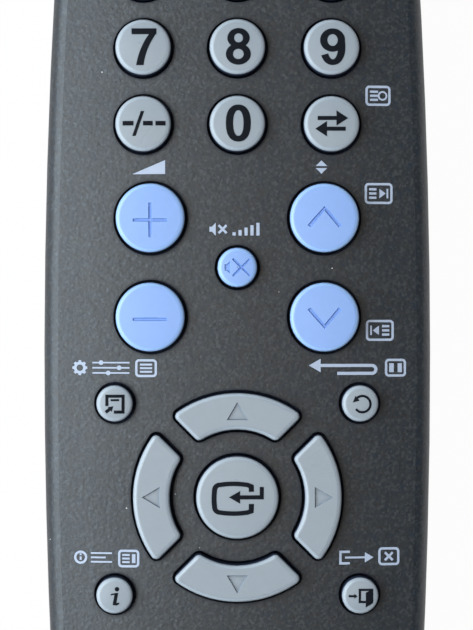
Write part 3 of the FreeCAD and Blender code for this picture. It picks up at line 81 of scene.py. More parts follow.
def put_in_scene(name, data):
    """Makes an object around some data and adds it to the scene."""
    thing = bpy.data.objects.new(name, data)
    SCENE.collection.objects.link(thing)
    return thing


camera_data = bpy.data.cameras.new("camera")
camera_data.lens = FOCAL_LENGTH
camera_data.sensor_width = FRAME_WIDTH
camera_data.clip_start = NEAREST
camera = put_in_scene("camera", camera_data)
camera.location = CAMERA_PLACE
SCENE.camera = camera
print("camera at", CAMERA_PLACE, "with a lens of", FOCAL_LENGTH, "mm")

# %% [markdown]
# Node trees are long to write out, so a few small helpers come first. One adds
# a node and fills in its sockets by name or by number. A value that is itself a
# socket gets a link, and any other value is set on the socket. On it rest a sum,
# a stretched range, a mix of two colours and the place in millimetres. Two more
# start a node group and put one to use.

# %% Helpers for node trees


def feed(tree, socket, value):
    """Links a socket to another one, or sets its plain value."""
    if isinstance(value, bpy.types.NodeSocket):
        tree.links.new(value, socket)
    else:
        socket.default_value = value


def put(tree, kind, values, **settings):
    """Adds a shader node with its settings and the values of its sockets."""
    node = tree.nodes.new("ShaderNode" + kind)
    for name, value in settings.items():
        setattr(node, name, value)
    for name, value in values.items():
        feed(tree, node.inputs[name], value)
    return node


def sums(tree, operation, *values):
    """One step of arithmetic on sockets or plain numbers."""
    return put(tree, "Math", dict(enumerate(values)), operation=operation).outputs[0]


def between(tree, value, low, high, first=0.0, last=1.0):
    """Stretches the part of a value from low to high over first to last."""
    return put(tree, "MapRange", dict(enumerate((value, low, high, first, last)))).outputs[0]


def mixed(tree, amount, first, second):
    """A colour that goes from the first to the second with the amount."""
    sockets = {0: amount, 6: first, 7: second}
    return put(tree, "Mix", sockets, data_type="RGBA").outputs[2]


def new_group(name, inputs, outputs):
    """A shader node group that is empty but for its two ends."""
    group = bpy.data.node_groups.new(name, "ShaderNodeTree")
    for label, value in inputs.items():
        group.interface.new_socket(
            label, in_out="INPUT", socket_type="NodeSocketFloat"
        ).default_value = value
    for label, kind in outputs.items():
        group.interface.new_socket(label, in_out="OUTPUT", socket_type="NodeSocket" + kind)
    entry = group.nodes.new("NodeGroupInput").outputs
    leave = group.nodes.new("NodeGroupOutput").inputs
    return group, entry, leave


def millimetres(tree):
    """The place on the object in millimetres, which turns with the object."""
    place = put(tree, "TexCoord", {}).outputs["Object"]
    return put(
        tree, "VectorMath", {0: place, "Scale": 1000.0}, operation="SCALE"
    ).outputs["Vector"]


def spread(tree, size):
    """Where a texture is looked up so that its features are about size mm wide."""
    return {"Vector": millimetres(tree), "Scale": sums(tree, "DIVIDE", 1.0, size)}


def use(tree, group, **values):
    """Places a node group in a tree and fills in its inputs."""
    node = tree.nodes.new("ShaderNodeGroup")
    node.node_tree = group
    for name, value in values.items():
        feed(tree, node.inputs[name], value)
    return node.outputs


print("helpers for node trees are ready")

# %% [markdown]
# Every moulded part of a remote carries the texture of its mould: fine pits
# where sparks ate the steel away. Two noises of different size, one of them
# cellular, make that height without any picture, and a bump node in each
# material turns it into tilted light.

# %% Moulded grain
grain, entry, leave = new_group(
    "moulded_grain", {"Size": 0.2, "Pits": 0.5}, {"Height": "Float"}
)
lookup = spread(grain, entry["Size"])
cloud = put(grain, "TexNoise", {**lookup, "Detail": 3.0, "Roughness": 0.6}).outputs[0]
cells = put(grain, "TexVoronoi", lookup, feature="SMOOTH_F1").outputs["Distance"]
pitted = sums(grain, "MULTIPLY", cells, entry["Pits"])
feed(grain, leave["Height"], sums(grain, "ADD", cloud, pitted))
print("group", grain.name)

# %% [markdown]
# The upper shell is moulded in plastic that is filled with metal flake. Each
# flake is a tiny mirror of its own, so it is lighter or darker than its
# neighbours. Cells with a random value stand for the flakes, and only a share
# of them lies near enough to the surface to be seen.

# %% Metal flake
flake, entry, leave = new_group(
    "metal_flake",
    {"Size": 0.1, "Share": 0.3},
    {"Mask": "Float", "Shade": "Float"},
)
chance = put(flake, "TexVoronoi", spread(flake, entry["Size"])).outputs["Color"]
parts = put(flake, "SeparateColor", {"Color": chance})
hidden = sums(flake, "SUBTRACT", 1.0, entry["Share"])
feed(flake, leave["Mask"], sums(flake, "GREATER_THAN", parts.outputs[0], hidden))
feed(flake, leave["Shade"], parts.outputs[1])
print("group", flake.name)

# %% [markdown]
# Edges that hands and tables rub turn a little lighter and smoother. The bevel
# node looks along the surface and bends the normal near an edge, so the more
# that bent normal differs from the true one, the nearer the edge is. ON_FACE
# and ON_EDGE say how well the two agree away from an edge and right on it.
# Noise breaks the line up, since wear is never even. On the keys the lighter
# edge also stands in part for a painted highlight.

# %% Edge wear
ON_FACE = 0.995
ON_EDGE = 0.9

edge_wear, entry, leave = new_group("edge_wear", {"Width": 0.3}, {"Mask": "Float"})
radius = sums(edge_wear, "MULTIPLY", entry["Width"], MM)
bent = put(edge_wear, "Bevel", {"Radius": radius}, samples=4).outputs[0]
true = put(edge_wear, "NewGeometry", {}).outputs["Normal"]
along = put(edge_wear, "VectorMath", {0: bent, 1: true}, operation="DOT_PRODUCT").outputs["Value"]
edge = between(edge_wear, along, ON_FACE, ON_EDGE)
patches = put(
    edge_wear, "TexNoise", {"Vector": millimetres(edge_wear), "Scale": 0.9, "Detail": 4.0}
).outputs[0]
broken = between(edge_wear, patches, 0.35, 0.65, 0.35, 1.0)
feed(edge_wear, leave["Mask"], sums(edge_wear, "MULTIPLY", edge, broken))
print("group", edge_wear.name)

# %% [markdown]
# A remote that has been used carries two more things: a film from fingers,
# which changes the gloss in broad patches, and single specks of dust. Both
# come from textures that repeat nowhere, and both only put out masks, so each
# material decides what they do to it.

# %% Handling and dust
handling, entry, leave = new_group("handling", {"Patch": 9.0}, {"Film": "Float", "Tone": "Float"})
lookup = spread(handling, entry["Patch"])
broad = put(handling, "TexNoise", {**lookup, "Detail": 5.0, "Distortion": 0.6})
feed(handling, leave["Film"], between(handling, broad.outputs[0], 0.3, 0.7))
mottle = put(
    handling, "TexNoise", {**lookup, "Scale": 0.7, "Detail": 6.0, "Roughness": 0.7}
)
feed(handling, leave["Tone"], between(handling, mottle.outputs[0], 0.25, 0.75))

dust, entry, leave = new_group("dust_specks", {"Spacing": 2.5, "Size": 0.07}, {"Mask": "Float"})
speck = put(dust, "TexVoronoi", spread(dust, entry["Spacing"]))
reach = sums(dust, "MULTIPLY", speck.outputs["Distance"], entry["Spacing"])
random = put(dust, "SeparateColor", {"Color": speck.outputs["Color"]}).outputs[0]
limit = sums(dust, "MULTIPLY", entry["Size"], random)
feed(dust, leave["Mask"], sums(dust, "LESS_THAN", reach, limit))
print("groups", handling.name, "and", dust.name)

# %% [markdown]
# The keys are dark rubber with a painted cap. The paint covers the face and
# rolls over its edge, and the walls and the flange below it stay dark. That
# dark colour is partly the rubber and partly painted shade, the shade that
# falls on the walls and into the gaps, which is why each key stands in a black
# ring when seen from above. How far the surface faces up tells where the paint
# ends, and a level inside the shell keeps it off the flange. Where the paint
# rolls over the edge its colour is paler, as a painted highlight. Marks that
# are moulded into a face look deeper in colour because light hardly reaches
# into them, and the ambient occlusion node finds such places to paint that
# shade: it goes down from OPEN_SKY on an open face, and the mask is whole at
# Full.

# %% Painted caps and recesses
SPRAY = 0.2
RAGGED = 0.1
OPEN_SKY = 0.96

cap_paint, entry, leave = new_group(
    "cap_paint", {"Edge": 0.3, "Level": 19.8}, {"Mask": "Float", "Rim": "Float"}
)
facing = put(cap_paint, "TexCoord", {}).outputs["Normal"]
upward = put(cap_paint, "SeparateXYZ", {0: facing}).outputs[2]
where = millimetres(cap_paint)
ragged = put(cap_paint, "TexNoise", {"Vector": where, "Scale": 1.6, "Detail": 3.0}).outputs[0]
wander = sums(cap_paint, "MULTIPLY_ADD", ragged, RAGGED, -RAGGED / 2)
above = sums(cap_paint, "SUBTRACT", sums(cap_paint, "ADD", upward, wander), entry["Edge"])
sprayed = between(cap_paint, above, -SPRAY, SPRAY)
height = put(cap_paint, "SeparateXYZ", {0: where}).outputs[2]
outside = sums(cap_paint, "GREATER_THAN", height, entry["Level"])
feed(cap_paint, leave["Mask"], sums(cap_paint, "MULTIPLY", sprayed, outside))
# Where the face rolls over into the wall, for a painted highlight.
feed(cap_paint, leave["Rim"], between(cap_paint, upward, 0.98, 0.9))

recess, entry, leave = new_group("recess", {"Reach": 0.45, "Full": 0.62}, {"Mask": "Float"})
open_sky = put(
    recess,
    "AmbientOcclusion",
    {"Distance": sums(recess, "MULTIPLY", entry["Reach"], MM)},
    samples=6,
).outputs["AO"]
feed(recess, leave["Mask"], between(recess, open_sky, OPEN_SKY, entry["Full"]))
print("groups", cap_paint.name, "and", recess.name)

# %% [markdown]
# Nearly everything here is moulded plastic, so one recipe makes them all: a
# colour that drifts slightly, grain in the normal, a film that moves the
# roughness, worn edges and a few specks of dust. What differs is the amounts.
# The Principled shader stays in each material, and only masks and heights come
# out of the groups. A key takes its paint in the same recipe, with a painted
# highlight where the paint rolls over the edge and painted shade in its marks.
# The rubber below the paint is matt, and its dark colour, which also paints the
# shade on the walls, keeps the gaps round the keys dark.

# %% Moulded plastic
DUST = (0.55, 0.56, 0.58, 1.0)
PAINT_EDGE = 0.38
PAINT_LEVEL = 19.8
# How strongly painted shade deepens the colour in moulded marks.
RECESS_SHADE = 0.56
DEEPER = 1.5
# The key walls and flange: dark rubber whose colour also paints the shade there.
RUBBER_AND_WALL_SHADE = (0.007, 0.018, 0.055, 1.0)
MATT_RUBBER = 0.72


def start_material(name):
    """A new material with an empty Principled shader and its output."""
    material = bpy.data.materials.new(name)
    material.use_nodes = True
    tree = material.node_tree
    tree.nodes.clear()
    shader = put(tree, "BsdfPrincipled", {})
    put(tree, "OutputMaterial", {"Surface": shader.outputs[0]})
    return material, tree, shader.inputs


def shade(colour, factor):
    """The same colour, lighter or darker."""
    return tuple(min(1.0, part * factor) for part in colour) + (1.0,)


def bumped(tree, height, depth_mm):
    """A normal that is tilted by a height, which is depth_mm from low to high."""
    return put(
        tree, "Bump", {"Height": height, "Distance": depth_mm * MM, "Strength": 1.0}
    ).outputs[0]


def gloss_of(tree, film, low, high):
    """A roughness that goes from low to high with the film."""
    return between(tree, film["Film"], 0.0, 1.0, low, high)


def moulded(
    name,
    colour,
    roughness,
    grain_mm=0.25,
    depth_mm=0.004,
    drift=0.06,
    worn=1.25,
    wear_mm=0.25,
    dusty=0.0,
    specular=0.5,
    rim=0.0,
):
    """Moulded plastic with grain, film, lighter edges and dust. The lighter edges
    are wear, and on a key partly a painted highlight. A key also has a painted
    cap, made paler by rim where it rolls over the edge as a painted
    highlight, painted shade in its recesses, and dark rubber below whose colour
    also paints shade."""
    material, tree, sockets = start_material(name)
    film = use(tree, handling, Patch=9.0)
    tint = mixed(tree, film["Tone"], shade(colour, 1 - drift), shade(colour, 1 + drift))
    rubbed = use(tree, edge_wear, Width=wear_mm)["Mask"]
    tint = mixed(tree, rubbed, tint, shade(colour, worn))
    if dusty:
        specks = use(tree, dust, Spacing=2.5, Size=dusty)["Mask"]
        tint = mixed(tree, specks, tint, DUST)
    if rim:
        cap = use(tree, cap_paint, Edge=PAINT_EDGE, Level=PAINT_LEVEL)
        # Painted highlight: the colour turns paler where the paint rolls over the edge.
        tint = mixed(tree, cap["Rim"], tint, shade(colour, 1 + rim))
        # Painted shade: moulded marks and other recesses turn deeper in colour.
        deep = use(tree, recess, Reach=0.75, Full=0.86)["Mask"]
        deeper = tuple(part**DEEPER for part in colour) + (1.0,)
        tint = mixed(tree, sums(tree, "MULTIPLY", deep, RECESS_SHADE), tint, deeper)
        # Outside the paint: the dark rubber colour, which also paints the shade on the walls and
        # the flange.
        tint = mixed(tree, cap["Mask"], RUBBER_AND_WALL_SHADE, tint)
    feed(tree, sockets["Base Color"], tint)
    gloss = gloss_of(tree, film, roughness - 0.04, roughness + 0.05)
    if rim:
        gloss = between(tree, cap["Mask"], 0.0, 1.0, MATT_RUBBER, gloss)
    feed(tree, sockets["Roughness"], gloss)
    height = use(tree, grain, Size=grain_mm, Pits=0.5)["Height"]
    feed(tree, sockets["Normal"], bumped(tree, height, depth_mm))
    sockets["Specular IOR Level"].default_value = specular
    return material


KEY_COLOURS = {
    "key_grey": (0.322, 0.363, 0.406),
    "key_blue": (0.282, 0.44, 0.82),
    "key_red": (0.48, 0.012, 0.014),
    "key_green": (0.02, 0.22, 0.045),
    "key_yellow": (0.70, 0.42, 0.02),
    "key_deep_blue": (0.015, 0.07, 0.42),
}

KEY_FINISH = {
    "roughness": 0.3,
    "grain_mm": 0.22,
    "depth_mm": 0.002,
    "drift": 0.03,
    # On keys the lighter worn edge also stands in part for a painted highlight.
    "worn": 1.2,
    "wear_mm": 0.2,
    "dusty": 0.05,
    "rim": 0.36,
}
INK_FINISH = {"grain_mm": 0.1, "depth_mm": 0.002, "wear_mm": 0.02}

FINISHES = {
    "lower_case": moulded("lower_case", (0.018, 0.020, 0.023), 0.52, 0.35, 0.012, dusty=0.05),
    "silicone": moulded("silicone", (0.24, 0.25, 0.27), 0.7, 0.4, 0.006, worn=1.1),
    "carbon": moulded("carbon", (0.012, 0.012, 0.013), 0.6, 0.15, 0.006),
    "chip": moulded("chip", (0.014, 0.014, 0.016), 0.55, 0.12, 0.006),
    "dark_ink": moulded(
        "dark_ink", (0.006, 0.008, 0.012), 0.6, drift=0.1, worn=1.3, specular=0.1, **INK_FINISH
    ),
    "light_ink": moulded("light_ink", (0.45, 0.51, 0.64), 0.5, worn=1.0, **INK_FINISH),
}
for name, colour in KEY_COLOURS.items():
    FINISHES[name] = moulded(name, colour, **KEY_FINISH)
print(len(FINISHES), "moulded and printed finishes")

# %% [markdown]
# The upper shell is the one that fills the picture. Its plastic is dark, and
# the satin skin of the mould throws light back in a wide soft lobe, so the
# side towards the lamp looks silver and the far side nearly black. The flakes
# are brighter or darker than the plastic around them, and the bright ones are
# partly metal. Clouds about a millimetre wide lean to the warm or to the cool
# side. Where the shell dips round the keys its colour is darkened as painted
# shade, and the same places are made dull.

# %% Upper shell
FLAKE_MM = 0.3
FLAKE_SHARE = 0.5
FLAKE_METAL = 0.5
SATIN = (0.41, 0.46)
GAP_MATT = 0.5
SHELL = (0.010, 0.0155, 0.022)
COOL_SHELL = (0.0055, 0.0145, 0.026, 1.0)
WARM_SHELL = (0.0125, 0.0155, 0.019, 1.0)
FLAKE_DARK = (0.004, 0.007, 0.011, 1.0)
FLAKE_LIGHT = (0.062, 0.070, 0.079, 1.0)
GAP_SHADE = (0.001, 0.003, 0.012, 1.0)
SHELL_DUST = (0.6, 0.61, 0.63, 1.0)

shell, tree, sockets = start_material("upper_case")
film = use(tree, handling, Patch=14.0)
clouds = put(
    tree, "TexNoise", {"Vector": millimetres(tree), "Scale": 0.9, "Detail": 2.0}
).outputs[0]
tint = mixed(tree, between(tree, clouds, 0.35, 0.65), COOL_SHELL, WARM_SHELL)
flakes = use(tree, flake, Size=FLAKE_MM, Share=FLAKE_SHARE)
glitter = mixed(tree, flakes["Shade"], FLAKE_DARK, FLAKE_LIGHT)
tint = mixed(tree, flakes["Mask"], tint, glitter)
rubbed = use(tree, edge_wear, Width=0.22)["Mask"]
tint = mixed(tree, rubbed, tint, shade(SHELL, 1.3))
# Painted shade: the colour darkens where the shell dips round the keys, and the same mask makes it
# matt.
gap = use(tree, recess, Reach=0.8, Full=0.62)["Mask"]
tint = mixed(tree, gap, tint, GAP_SHADE)
specks = use(tree, dust, Spacing=3.2, Size=0.14)["Mask"]
feed(tree, sockets["Base Color"], mixed(tree, specks, tint, SHELL_DUST))
bright = sums(tree, "MULTIPLY", flakes["Mask"], flakes["Shade"])
clear = sums(tree, "SUBTRACT", 1.0, specks)
metal = sums(tree, "MULTIPLY", bright, clear)
feed(tree, sockets["Metallic"], sums(tree, "MULTIPLY", metal, FLAKE_METAL))
satin = gloss_of(tree, film, *SATIN)
feed(tree, sockets["Roughness"], sums(tree, "MULTIPLY_ADD", gap, GAP_MATT, satin))
sockets["Specular IOR Level"].default_value = 0.72
height = use(tree, grain, Size=0.5, Pits=0.7)["Height"]
feed(tree, sockets["Normal"], bumped(tree, height, 0.032))
FINISHES["upper_case"] = shell
print("upper shell with flakes of", FLAKE_MM, "mm")

# %% [markdown]
# The window in front of the emitter is dark acrylic that only infrared light
# passes. To the eye it is a polished, nearly black violet, with the fine
# scratches of a table. The emitter's lens behind it is clear epoxy with a
# faint blue cast, which is glass as far as the shader is concerned.

# %% Window and lens
EPOXY_IOR = 1.52
EPOXY_CLEAR = 0.9


def two_tones(tree, sockets, film, dark, light):
    """A base colour that drifts between two tones."""
    tint = mixed(tree, film["Tone"], dark + (1.0,), light + (1.0,))
    feed(tree, sockets["Base Color"], tint)


window, tree, sockets = start_material("dark_window")
film = use(tree, handling, Patch=6.0)
two_tones(tree, sockets, film, (0.010, 0.003, 0.006), (0.016, 0.005, 0.010))
scratch = put(
    tree,
    "TexWave",
    {"Vector": millimetres(tree), "Scale": 2.1, "Distortion": 9.0, "Detail": 4.0},
).outputs["Fac"]
fine_lines = between(tree, scratch, 0.97, 1.0)
feed(tree, sockets["Roughness"], between(tree, fine_lines, 0.0, 1.0, 0.07, 0.3))
feed(tree, sockets["Normal"], bumped(tree, film["Film"], 0.01))
FINISHES["dark_window"] = window

lens, tree, sockets = start_material("clear_lens")
film = use(tree, handling, Patch=2.0)
two_tones(tree, sockets, film, (0.75, 0.80, 0.92), (0.85, 0.88, 0.96))
feed(tree, sockets["Roughness"], gloss_of(tree, film, 0.03, 0.1))
sockets["Transmission Weight"].default_value = EPOXY_CLEAR
sockets["IOR"].default_value = EPOXY_IOR
FINISHES["clear_lens"] = lens
print("window and lens")

# %% [markdown]
# The metal parts differ in how they were made. Sheet that was rolled has lines
# along it, drawn wire has lines round it, and plating leaves a bright skin
# that dulls in patches. One recipe stretches a noise along an axis for the
# lines, which also set the roughness, and lets the film dull the colour.

# %% Metals


def metal_sheet(name, colour, roughness, stretch, dulled):
    """Plated or bare metal with drawn lines and dull patches."""
    material, tree, sockets = start_material(name)
    film = use(tree, handling, Patch=3.0)
    tint = mixed(tree, film["Tone"], shade(colour, 0.88), shade(colour, 1.05))
    feed(tree, sockets["Base Color"], mixed(tree, film["Film"], tint, shade(colour, dulled)))
    sockets["Metallic"].default_value = 1.0
    squeezed = put(
        tree, "VectorMath", {0: millimetres(tree), 1: stretch}, operation="MULTIPLY"
    ).outputs[0]
    lines = put(tree, "TexNoise", {"Vector": squeezed, "Scale": 6.0, "Detail": 3.0}).outputs[0]
    feed(tree, sockets["Roughness"], between(tree, lines, 0.3, 0.7, roughness, roughness + 0.15))
    feed(tree, sockets["Normal"], bumped(tree, lines, 0.004))
    return material


METALS = {
    "metal_can": ((0.62, 0.63, 0.65), 0.28, (0.1, 2, 2), 0.9),
    "tinned_wire": ((0.72, 0.72, 0.70), 0.22, (2, 0.1, 2), 0.85),
    "contact_metal": ((0.70, 0.69, 0.66), 0.16, (2, 2, 0.2), 0.85),
    "screw_steel": ((0.52, 0.52, 0.53), 0.3, (1, 1, 0.3), 0.8),
}
for name, values in METALS.items():
    FINISHES[name] = metal_sheet(name, *values)
print(len(METALS), "metals")

# %% [markdown]
# The board is green laminate: woven glass under lacquer, with copper tracks
# that show through as a lighter green. Tracks run in straight lines with
# corners, which is how cells look when distance is measured along the axes
# only, so the border between such cells stands for them.

# %% Board and capacitor
LACQUER = (0.012, 0.075, 0.022, 1.0)
GLASS_THREAD = (0.018, 0.095, 0.028, 1.0)
COPPER_TRACK = (0.05, 0.19, 0.06, 1.0)

board, tree, sockets = start_material("board")
where = millimetres(tree)
mesh_of_tracks = put(
    tree,
    "TexVoronoi",
    {"Vector": where, "Scale": 0.22, "Randomness": 0.8},
    distance="CHEBYCHEV",
    feature="F2",
).outputs["Distance"]
near_line = put(
    tree,
    "TexWave",
    {"Vector": where, "Scale": 0.45, "Distortion": 0.0},
    bands_direction="Y",
).outputs["Fac"]
stripes = sums(tree, "FRACT", sums(tree, "MULTIPLY", mesh_of_tracks, 5.0))
crossing = sums(tree, "MULTIPLY", stripes, near_line)
track = between(tree, crossing, 0.52, 0.56)
weave = put(tree, "TexWave", {"Vector": where, "Scale": 3.0, "Distortion": 1.5}).outputs["Fac"]
laminate = mixed(tree, weave, LACQUER, GLASS_THREAD)
feed(tree, sockets["Base Color"], mixed(tree, track, laminate, COPPER_TRACK))
feed(tree, sockets["Roughness"], between(tree, weave, 0.0, 1.0, 0.26, 0.36))
feed(tree, sockets["Normal"], bumped(tree, sums(tree, "ADD", track, weave), 0.01))
FINISHES["board"] = board

sleeve, tree, sockets = start_material("capacitor")
film = use(tree, handling, Patch=2.5)
two_tones(tree, sockets, film, (0.008, 0.012, 0.05), (0.012, 0.02, 0.07))
feed(tree, sockets["Roughness"], gloss_of(tree, film, 0.2, 0.35))
feed(tree, sockets["Normal"], bumped(tree, film["Tone"], 0.02))
FINISHES["capacitor"] = sleeve
print("board and capacitor")

# %% [markdown]
# A cell is a steel can in a printed sleeve. The sleeve stops short of both
# ends, where the bare can shows, and a band of another colour marks the
# positive end. Where a point lies along the cell decides which of these it
# shows, so the two cells, which lie head to tail, get a material each. The
# places below are in millimetres from the flat end.

# %% Cells
SLEEVE_MIDDLE = 21.6
SLEEVE_HALF = 20.9
LINE_MIDDLE = 30.6
LINE_HALF = 0.35
BAND_START = 31.0
PLAIN_SLEEVE = ((0.018, 0.019, 0.022, 1.0), (0.028, 0.030, 0.034, 1.0))
BAND = (0.05, 0.24, 0.17, 1.0)
PALE_LINE = (0.62, 0.63, 0.62, 1.0)
BARE_CAN = ((0.60, 0.60, 0.58, 1.0), (0.50, 0.50, 0.48, 1.0))
CELL_FOOT = {"battery_left": -83.3, "battery_right": -44.4}
TOWARDS_TOP = {"battery_left": 1.0, "battery_right": -1.0}


def cell_sleeve(name):
    """A cell's sleeve with its band, measured from the flat end of the can."""
    material, tree, sockets = start_material(name + "_sleeve")
    place = put(tree, "SeparateXYZ", {0: millimetres(tree)}).outputs[1]
    along = sums(
        tree, "MULTIPLY", sums(tree, "SUBTRACT", place, CELL_FOOT[name]), TOWARDS_TOP[name]
    )
    film = use(tree, handling, Patch=6.0)
    plain = mixed(tree, film["Tone"], *PLAIN_SLEEVE)
    banded = mixed(tree, sums(tree, "GREATER_THAN", along, BAND_START), plain, BAND)
    line = sums(tree, "COMPARE", along, LINE_MIDDLE, LINE_HALF)
    banded = mixed(tree, line, banded, PALE_LINE)
    off_middle = sums(tree, "ABSOLUTE", sums(tree, "SUBTRACT", along, SLEEVE_MIDDLE))
    bare = sums(tree, "GREATER_THAN", off_middle, SLEEVE_HALF)
    steel = mixed(tree, film["Film"], *BARE_CAN)
    feed(tree, sockets["Base Color"], mixed(tree, bare, banded, steel))
    feed(tree, sockets["Metallic"], bare)
    feed(tree, sockets["Roughness"], gloss_of(tree, film, 0.2, 0.34))
    feed(tree, sockets["Normal"], bumped(tree, film["Tone"], 0.006))
    return material


CELLS = {name: cell_sleeve(name) for name in CELL_FOOT}
print("sleeves for", len(CELLS), "cells")

# %% [markdown]
# Each part of the frame names the slot that it takes its finish from, so the
# materials can be handed out in one loop. A part's object keeps its mesh and
# its place, and only the material in its slot changes.

# %% Dress the frame
SLOT_OF = {row["node"]: row["material_slot"] for row in frame["record"]["subparts"]}

for name, part in NODES.items():
    finish = CELLS.get(name) or FINISHES[SLOT_OF[name]]
    for holder in part.material_slots:
        holder.material = finish
print(len(NODES), "parts dressed")

# %% [markdown]
# The signs are printed, so they are sheets of ink that follow the surface
# under them. A pen collects the strokes of a sign as flat shapes: a polyline
# of some width becomes one four-sided shape for each stretch, with mitred
# corners so that neighbours share an edge. SHARPEST keeps the tip of a very
# pointed corner short.

# %% The pen
SHARPEST = 0.35


def curve(cx, cy, rx, ry, first, last, steps=24, squareness=2.0):
    """Points along an ellipse, or a squarer one, from one angle to another."""
    points = []
    for step in range(steps + 1):
        angle = math.radians(first + (last - first) * step / steps)
        c, s = math.cos(angle), math.sin(angle)
        bend = 2.0 / squareness
        points.append(
            (
                cx + rx * math.copysign(abs(c) ** bend, c),
                cy + ry * math.copysign(abs(s) ** bend, s),
            )
        )
    return points


def ring(cx, cy, rx, ry, squareness=2.0, steps=40):
    """A closed loop of points."""
    return curve(cx, cy, rx, ry, 0, 360, steps, squareness)[:-1]


def box(x0, y0, x1, y1):
    """The corners of an upright rectangle."""
    return [(x0, y0), (x1, y0), (x1, y1), (x0, y1)]


def rounded_box(x0, y0, x1, y1, radius, steps=5):
    """The outline of a rectangle with round corners."""
    corners = (
        (x1 - radius, y1 - radius, 0),
        (x0 + radius, y1 - radius, 90),
        (x0 + radius, y0 + radius, 180),
        (x1 - radius, y0 + radius, 270),
    )
    return [
        point
        for cx, cy, turn in corners
        for point in curve(cx, cy, radius, radius, turn, turn + 90, steps)
    ]


def ribbon(points, width, closed=False, flat=1.0):
    """The stretches of a pen stroke as four-sided shapes with mitred corners.
    Level stretches are flat times as thick as upright ones."""
    spots = [Vector(point) for point in points]
    count = len(spots)
    sides = []
    for index, spot in enumerate(spots):
        before = spots[index - 1] if index or closed else None
        after = spots[(index + 1) % count] if index < count - 1 or closed else None
        ways = []
        if before is not None:
            ways.append((spot - before).normalized())
        if after is not None:
            ways.append((after - spot).normalized())
        way = sum(ways, Vector((0, 0))).normalized()
        across = Vector((-way.y, way.x))
        reach = width / 2 / max(SHARPEST, across.dot(Vector((-ways[0].y, ways[0].x))))
        offset = Vector((across.x * reach, across.y * reach * flat))
        sides.append((spot + offset, spot - offset))
    if closed:
        sides.append(sides[0])
    return [
        [first[0], first[1], second[1], second[0]] for first, second in zip(sides, sides[1:])
    ]


def moved(shapes, x=0.0, y=0.0, size=1.0):
    """Shapes after a change of size about their origin and a shift."""
    return [[(px * size + x, py * size + y) for px, py in shape] for shape in shapes]


print("the pen draws ribbons, rings and boxes")

# %% [markdown]
# Printing a sign takes three steps. The flat shapes are joined into one sheet
# of triangles, together with a grid of spare points so that the sheet can
# bend. Each corner then drops along a straight ray onto the part that carries
# the sign. Last, the sheet gets its few hundredths of a millimetre of ink,
# with a skirt that reaches into the surface. The spare points are set off from
# the grid of most corners, so that no two fall together.

# %% Print a sign
INK = 0.03
ROOT = 0.03
GRID = 0.45
SET_OFF = (0.37, 0.41)
TOLERANCE = 1e-4
FAR_OUT = 50.0
CREASE = math.radians(40)
TREES = {}


def surface_of(node):
    """A search tree over a part's mesh, built once for each part."""
    if node not in TREES:
        mesh = NODES[node].data
        spots = [vertex.co / MM for vertex in mesh.vertices]
        TREES[node] = BVHTree.FromPolygons(spots, [face.vertices for face in mesh.polygons])
    return TREES[node]


def sides_of(loop):
    """Each corner of a closed outline with the one that follows it."""
    return zip(loop, loop[1:] + loop[:1])


def divided(shape):
    """The same outline with no side longer than a grid step."""
    points = []
    for first, second in sides_of(shape):
        start, end = Vector(first), Vector(second)
        steps = max(1, math.ceil((end - start).length / GRID))
        points += [tuple(start.lerp(end, step / steps)) for step in range(steps)]
    return points


def flat_sheet(shapes):
    """Overlapping flat shapes as one sheet of triangles."""
    corners, faces = [], []
    for shape in map(divided, shapes):
        turn = sum(
            first[0] * second[1] - second[0] * first[1] for first, second in sides_of(shape)
        )
        faces.append(list(range(len(corners), len(corners) + len(shape))))
        corners.extend(Vector(point) for point in (shape if turn > 0 else shape[::-1]))
    low_x, low_y = (min(corner[axis] for corner in corners) for axis in (0, 1))
    high_x, high_y = (max(corner[axis] for corner in corners) for axis in (0, 1))
    spare = [
        Vector((low_x + GRID * (i + SET_OFF[0]), low_y + GRID * (j + SET_OFF[1])))
        for i in range(int((high_x - low_x) / GRID) + 1)
        for j in range(int((high_y - low_y) / GRID) + 1)
    ]
    spots, _, triangles, _, _, sources = delaunay_2d_cdt(
        corners + spare, [], faces, 0, TOLERANCE
    )
    return spots, [face for face, source in zip(triangles, sources) if source]


def print_sign(name, body, node, slot, shapes, x=0.0, y=0.0, from_below=False):
    """Makes a sign of thin ink on a part, x and y being its place in mm."""
    spots, triangles = flat_sheet(moved(shapes, x, y))
    way = 1.0 if from_below else -1.0
    surface = surface_of(node)
    used = sorted({index for face in triangles for index in face})
    ground = {}
    for index in used:
        start = Vector((spots[index].x, spots[index].y, -way * FAR_OUT))
        ground[index] = surface.ray_cast(start, Vector((0, 0, way)))[0]
    order = {index: place for place, index in enumerate(used)}
    top = [ground[index] + Vector((0, 0, -way * INK)) for index in used]
    bottom = [ground[index] + Vector((0, 0, way * ROOT)) for index in used]
    count = len(used)
    faces = [[order[index] for index in face] for face in triangles]
    borders = {}
    for face in faces:
        borders.update(dict.fromkeys(sides_of(face)))
    skirt = [[b, a, a + count, b + count] for a, b in borders if (b, a) not in borders]
    under = [[index + count for index in reversed(face)] for face in faces]
    solid = faces + under + skirt
    if from_below:
        solid = [list(reversed(face)) for face in solid]
    mesh = bpy.data.meshes.new(name)
    mesh.from_pydata([corner * MM for corner in top + bottom], [], solid)
    mesh.validate()
    mesh.shade_smooth()
    mesh.set_sharp_from_angle(angle=CREASE)
    mesh.materials.append(FINISHES[slot])
    sign = put_in_scene(name, mesh)
    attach(sign, body)
    return sign


print("printing drops a sheet onto a part and gives it", INK, "mm of ink")

# %% [markdown]
# The number keys carry bold upright digits. They are drawn here as strokes in a
# frame one unit high: rings and arcs for the round ones, bars and legs for the
# others. Level strokes are thinner than upright ones, as in most bold type. The
# nine is the six turned over. On a key they are CAP mm high, a little narrower
# than drawn, and their middle lies PRINT_SHIFT mm right of the key's.

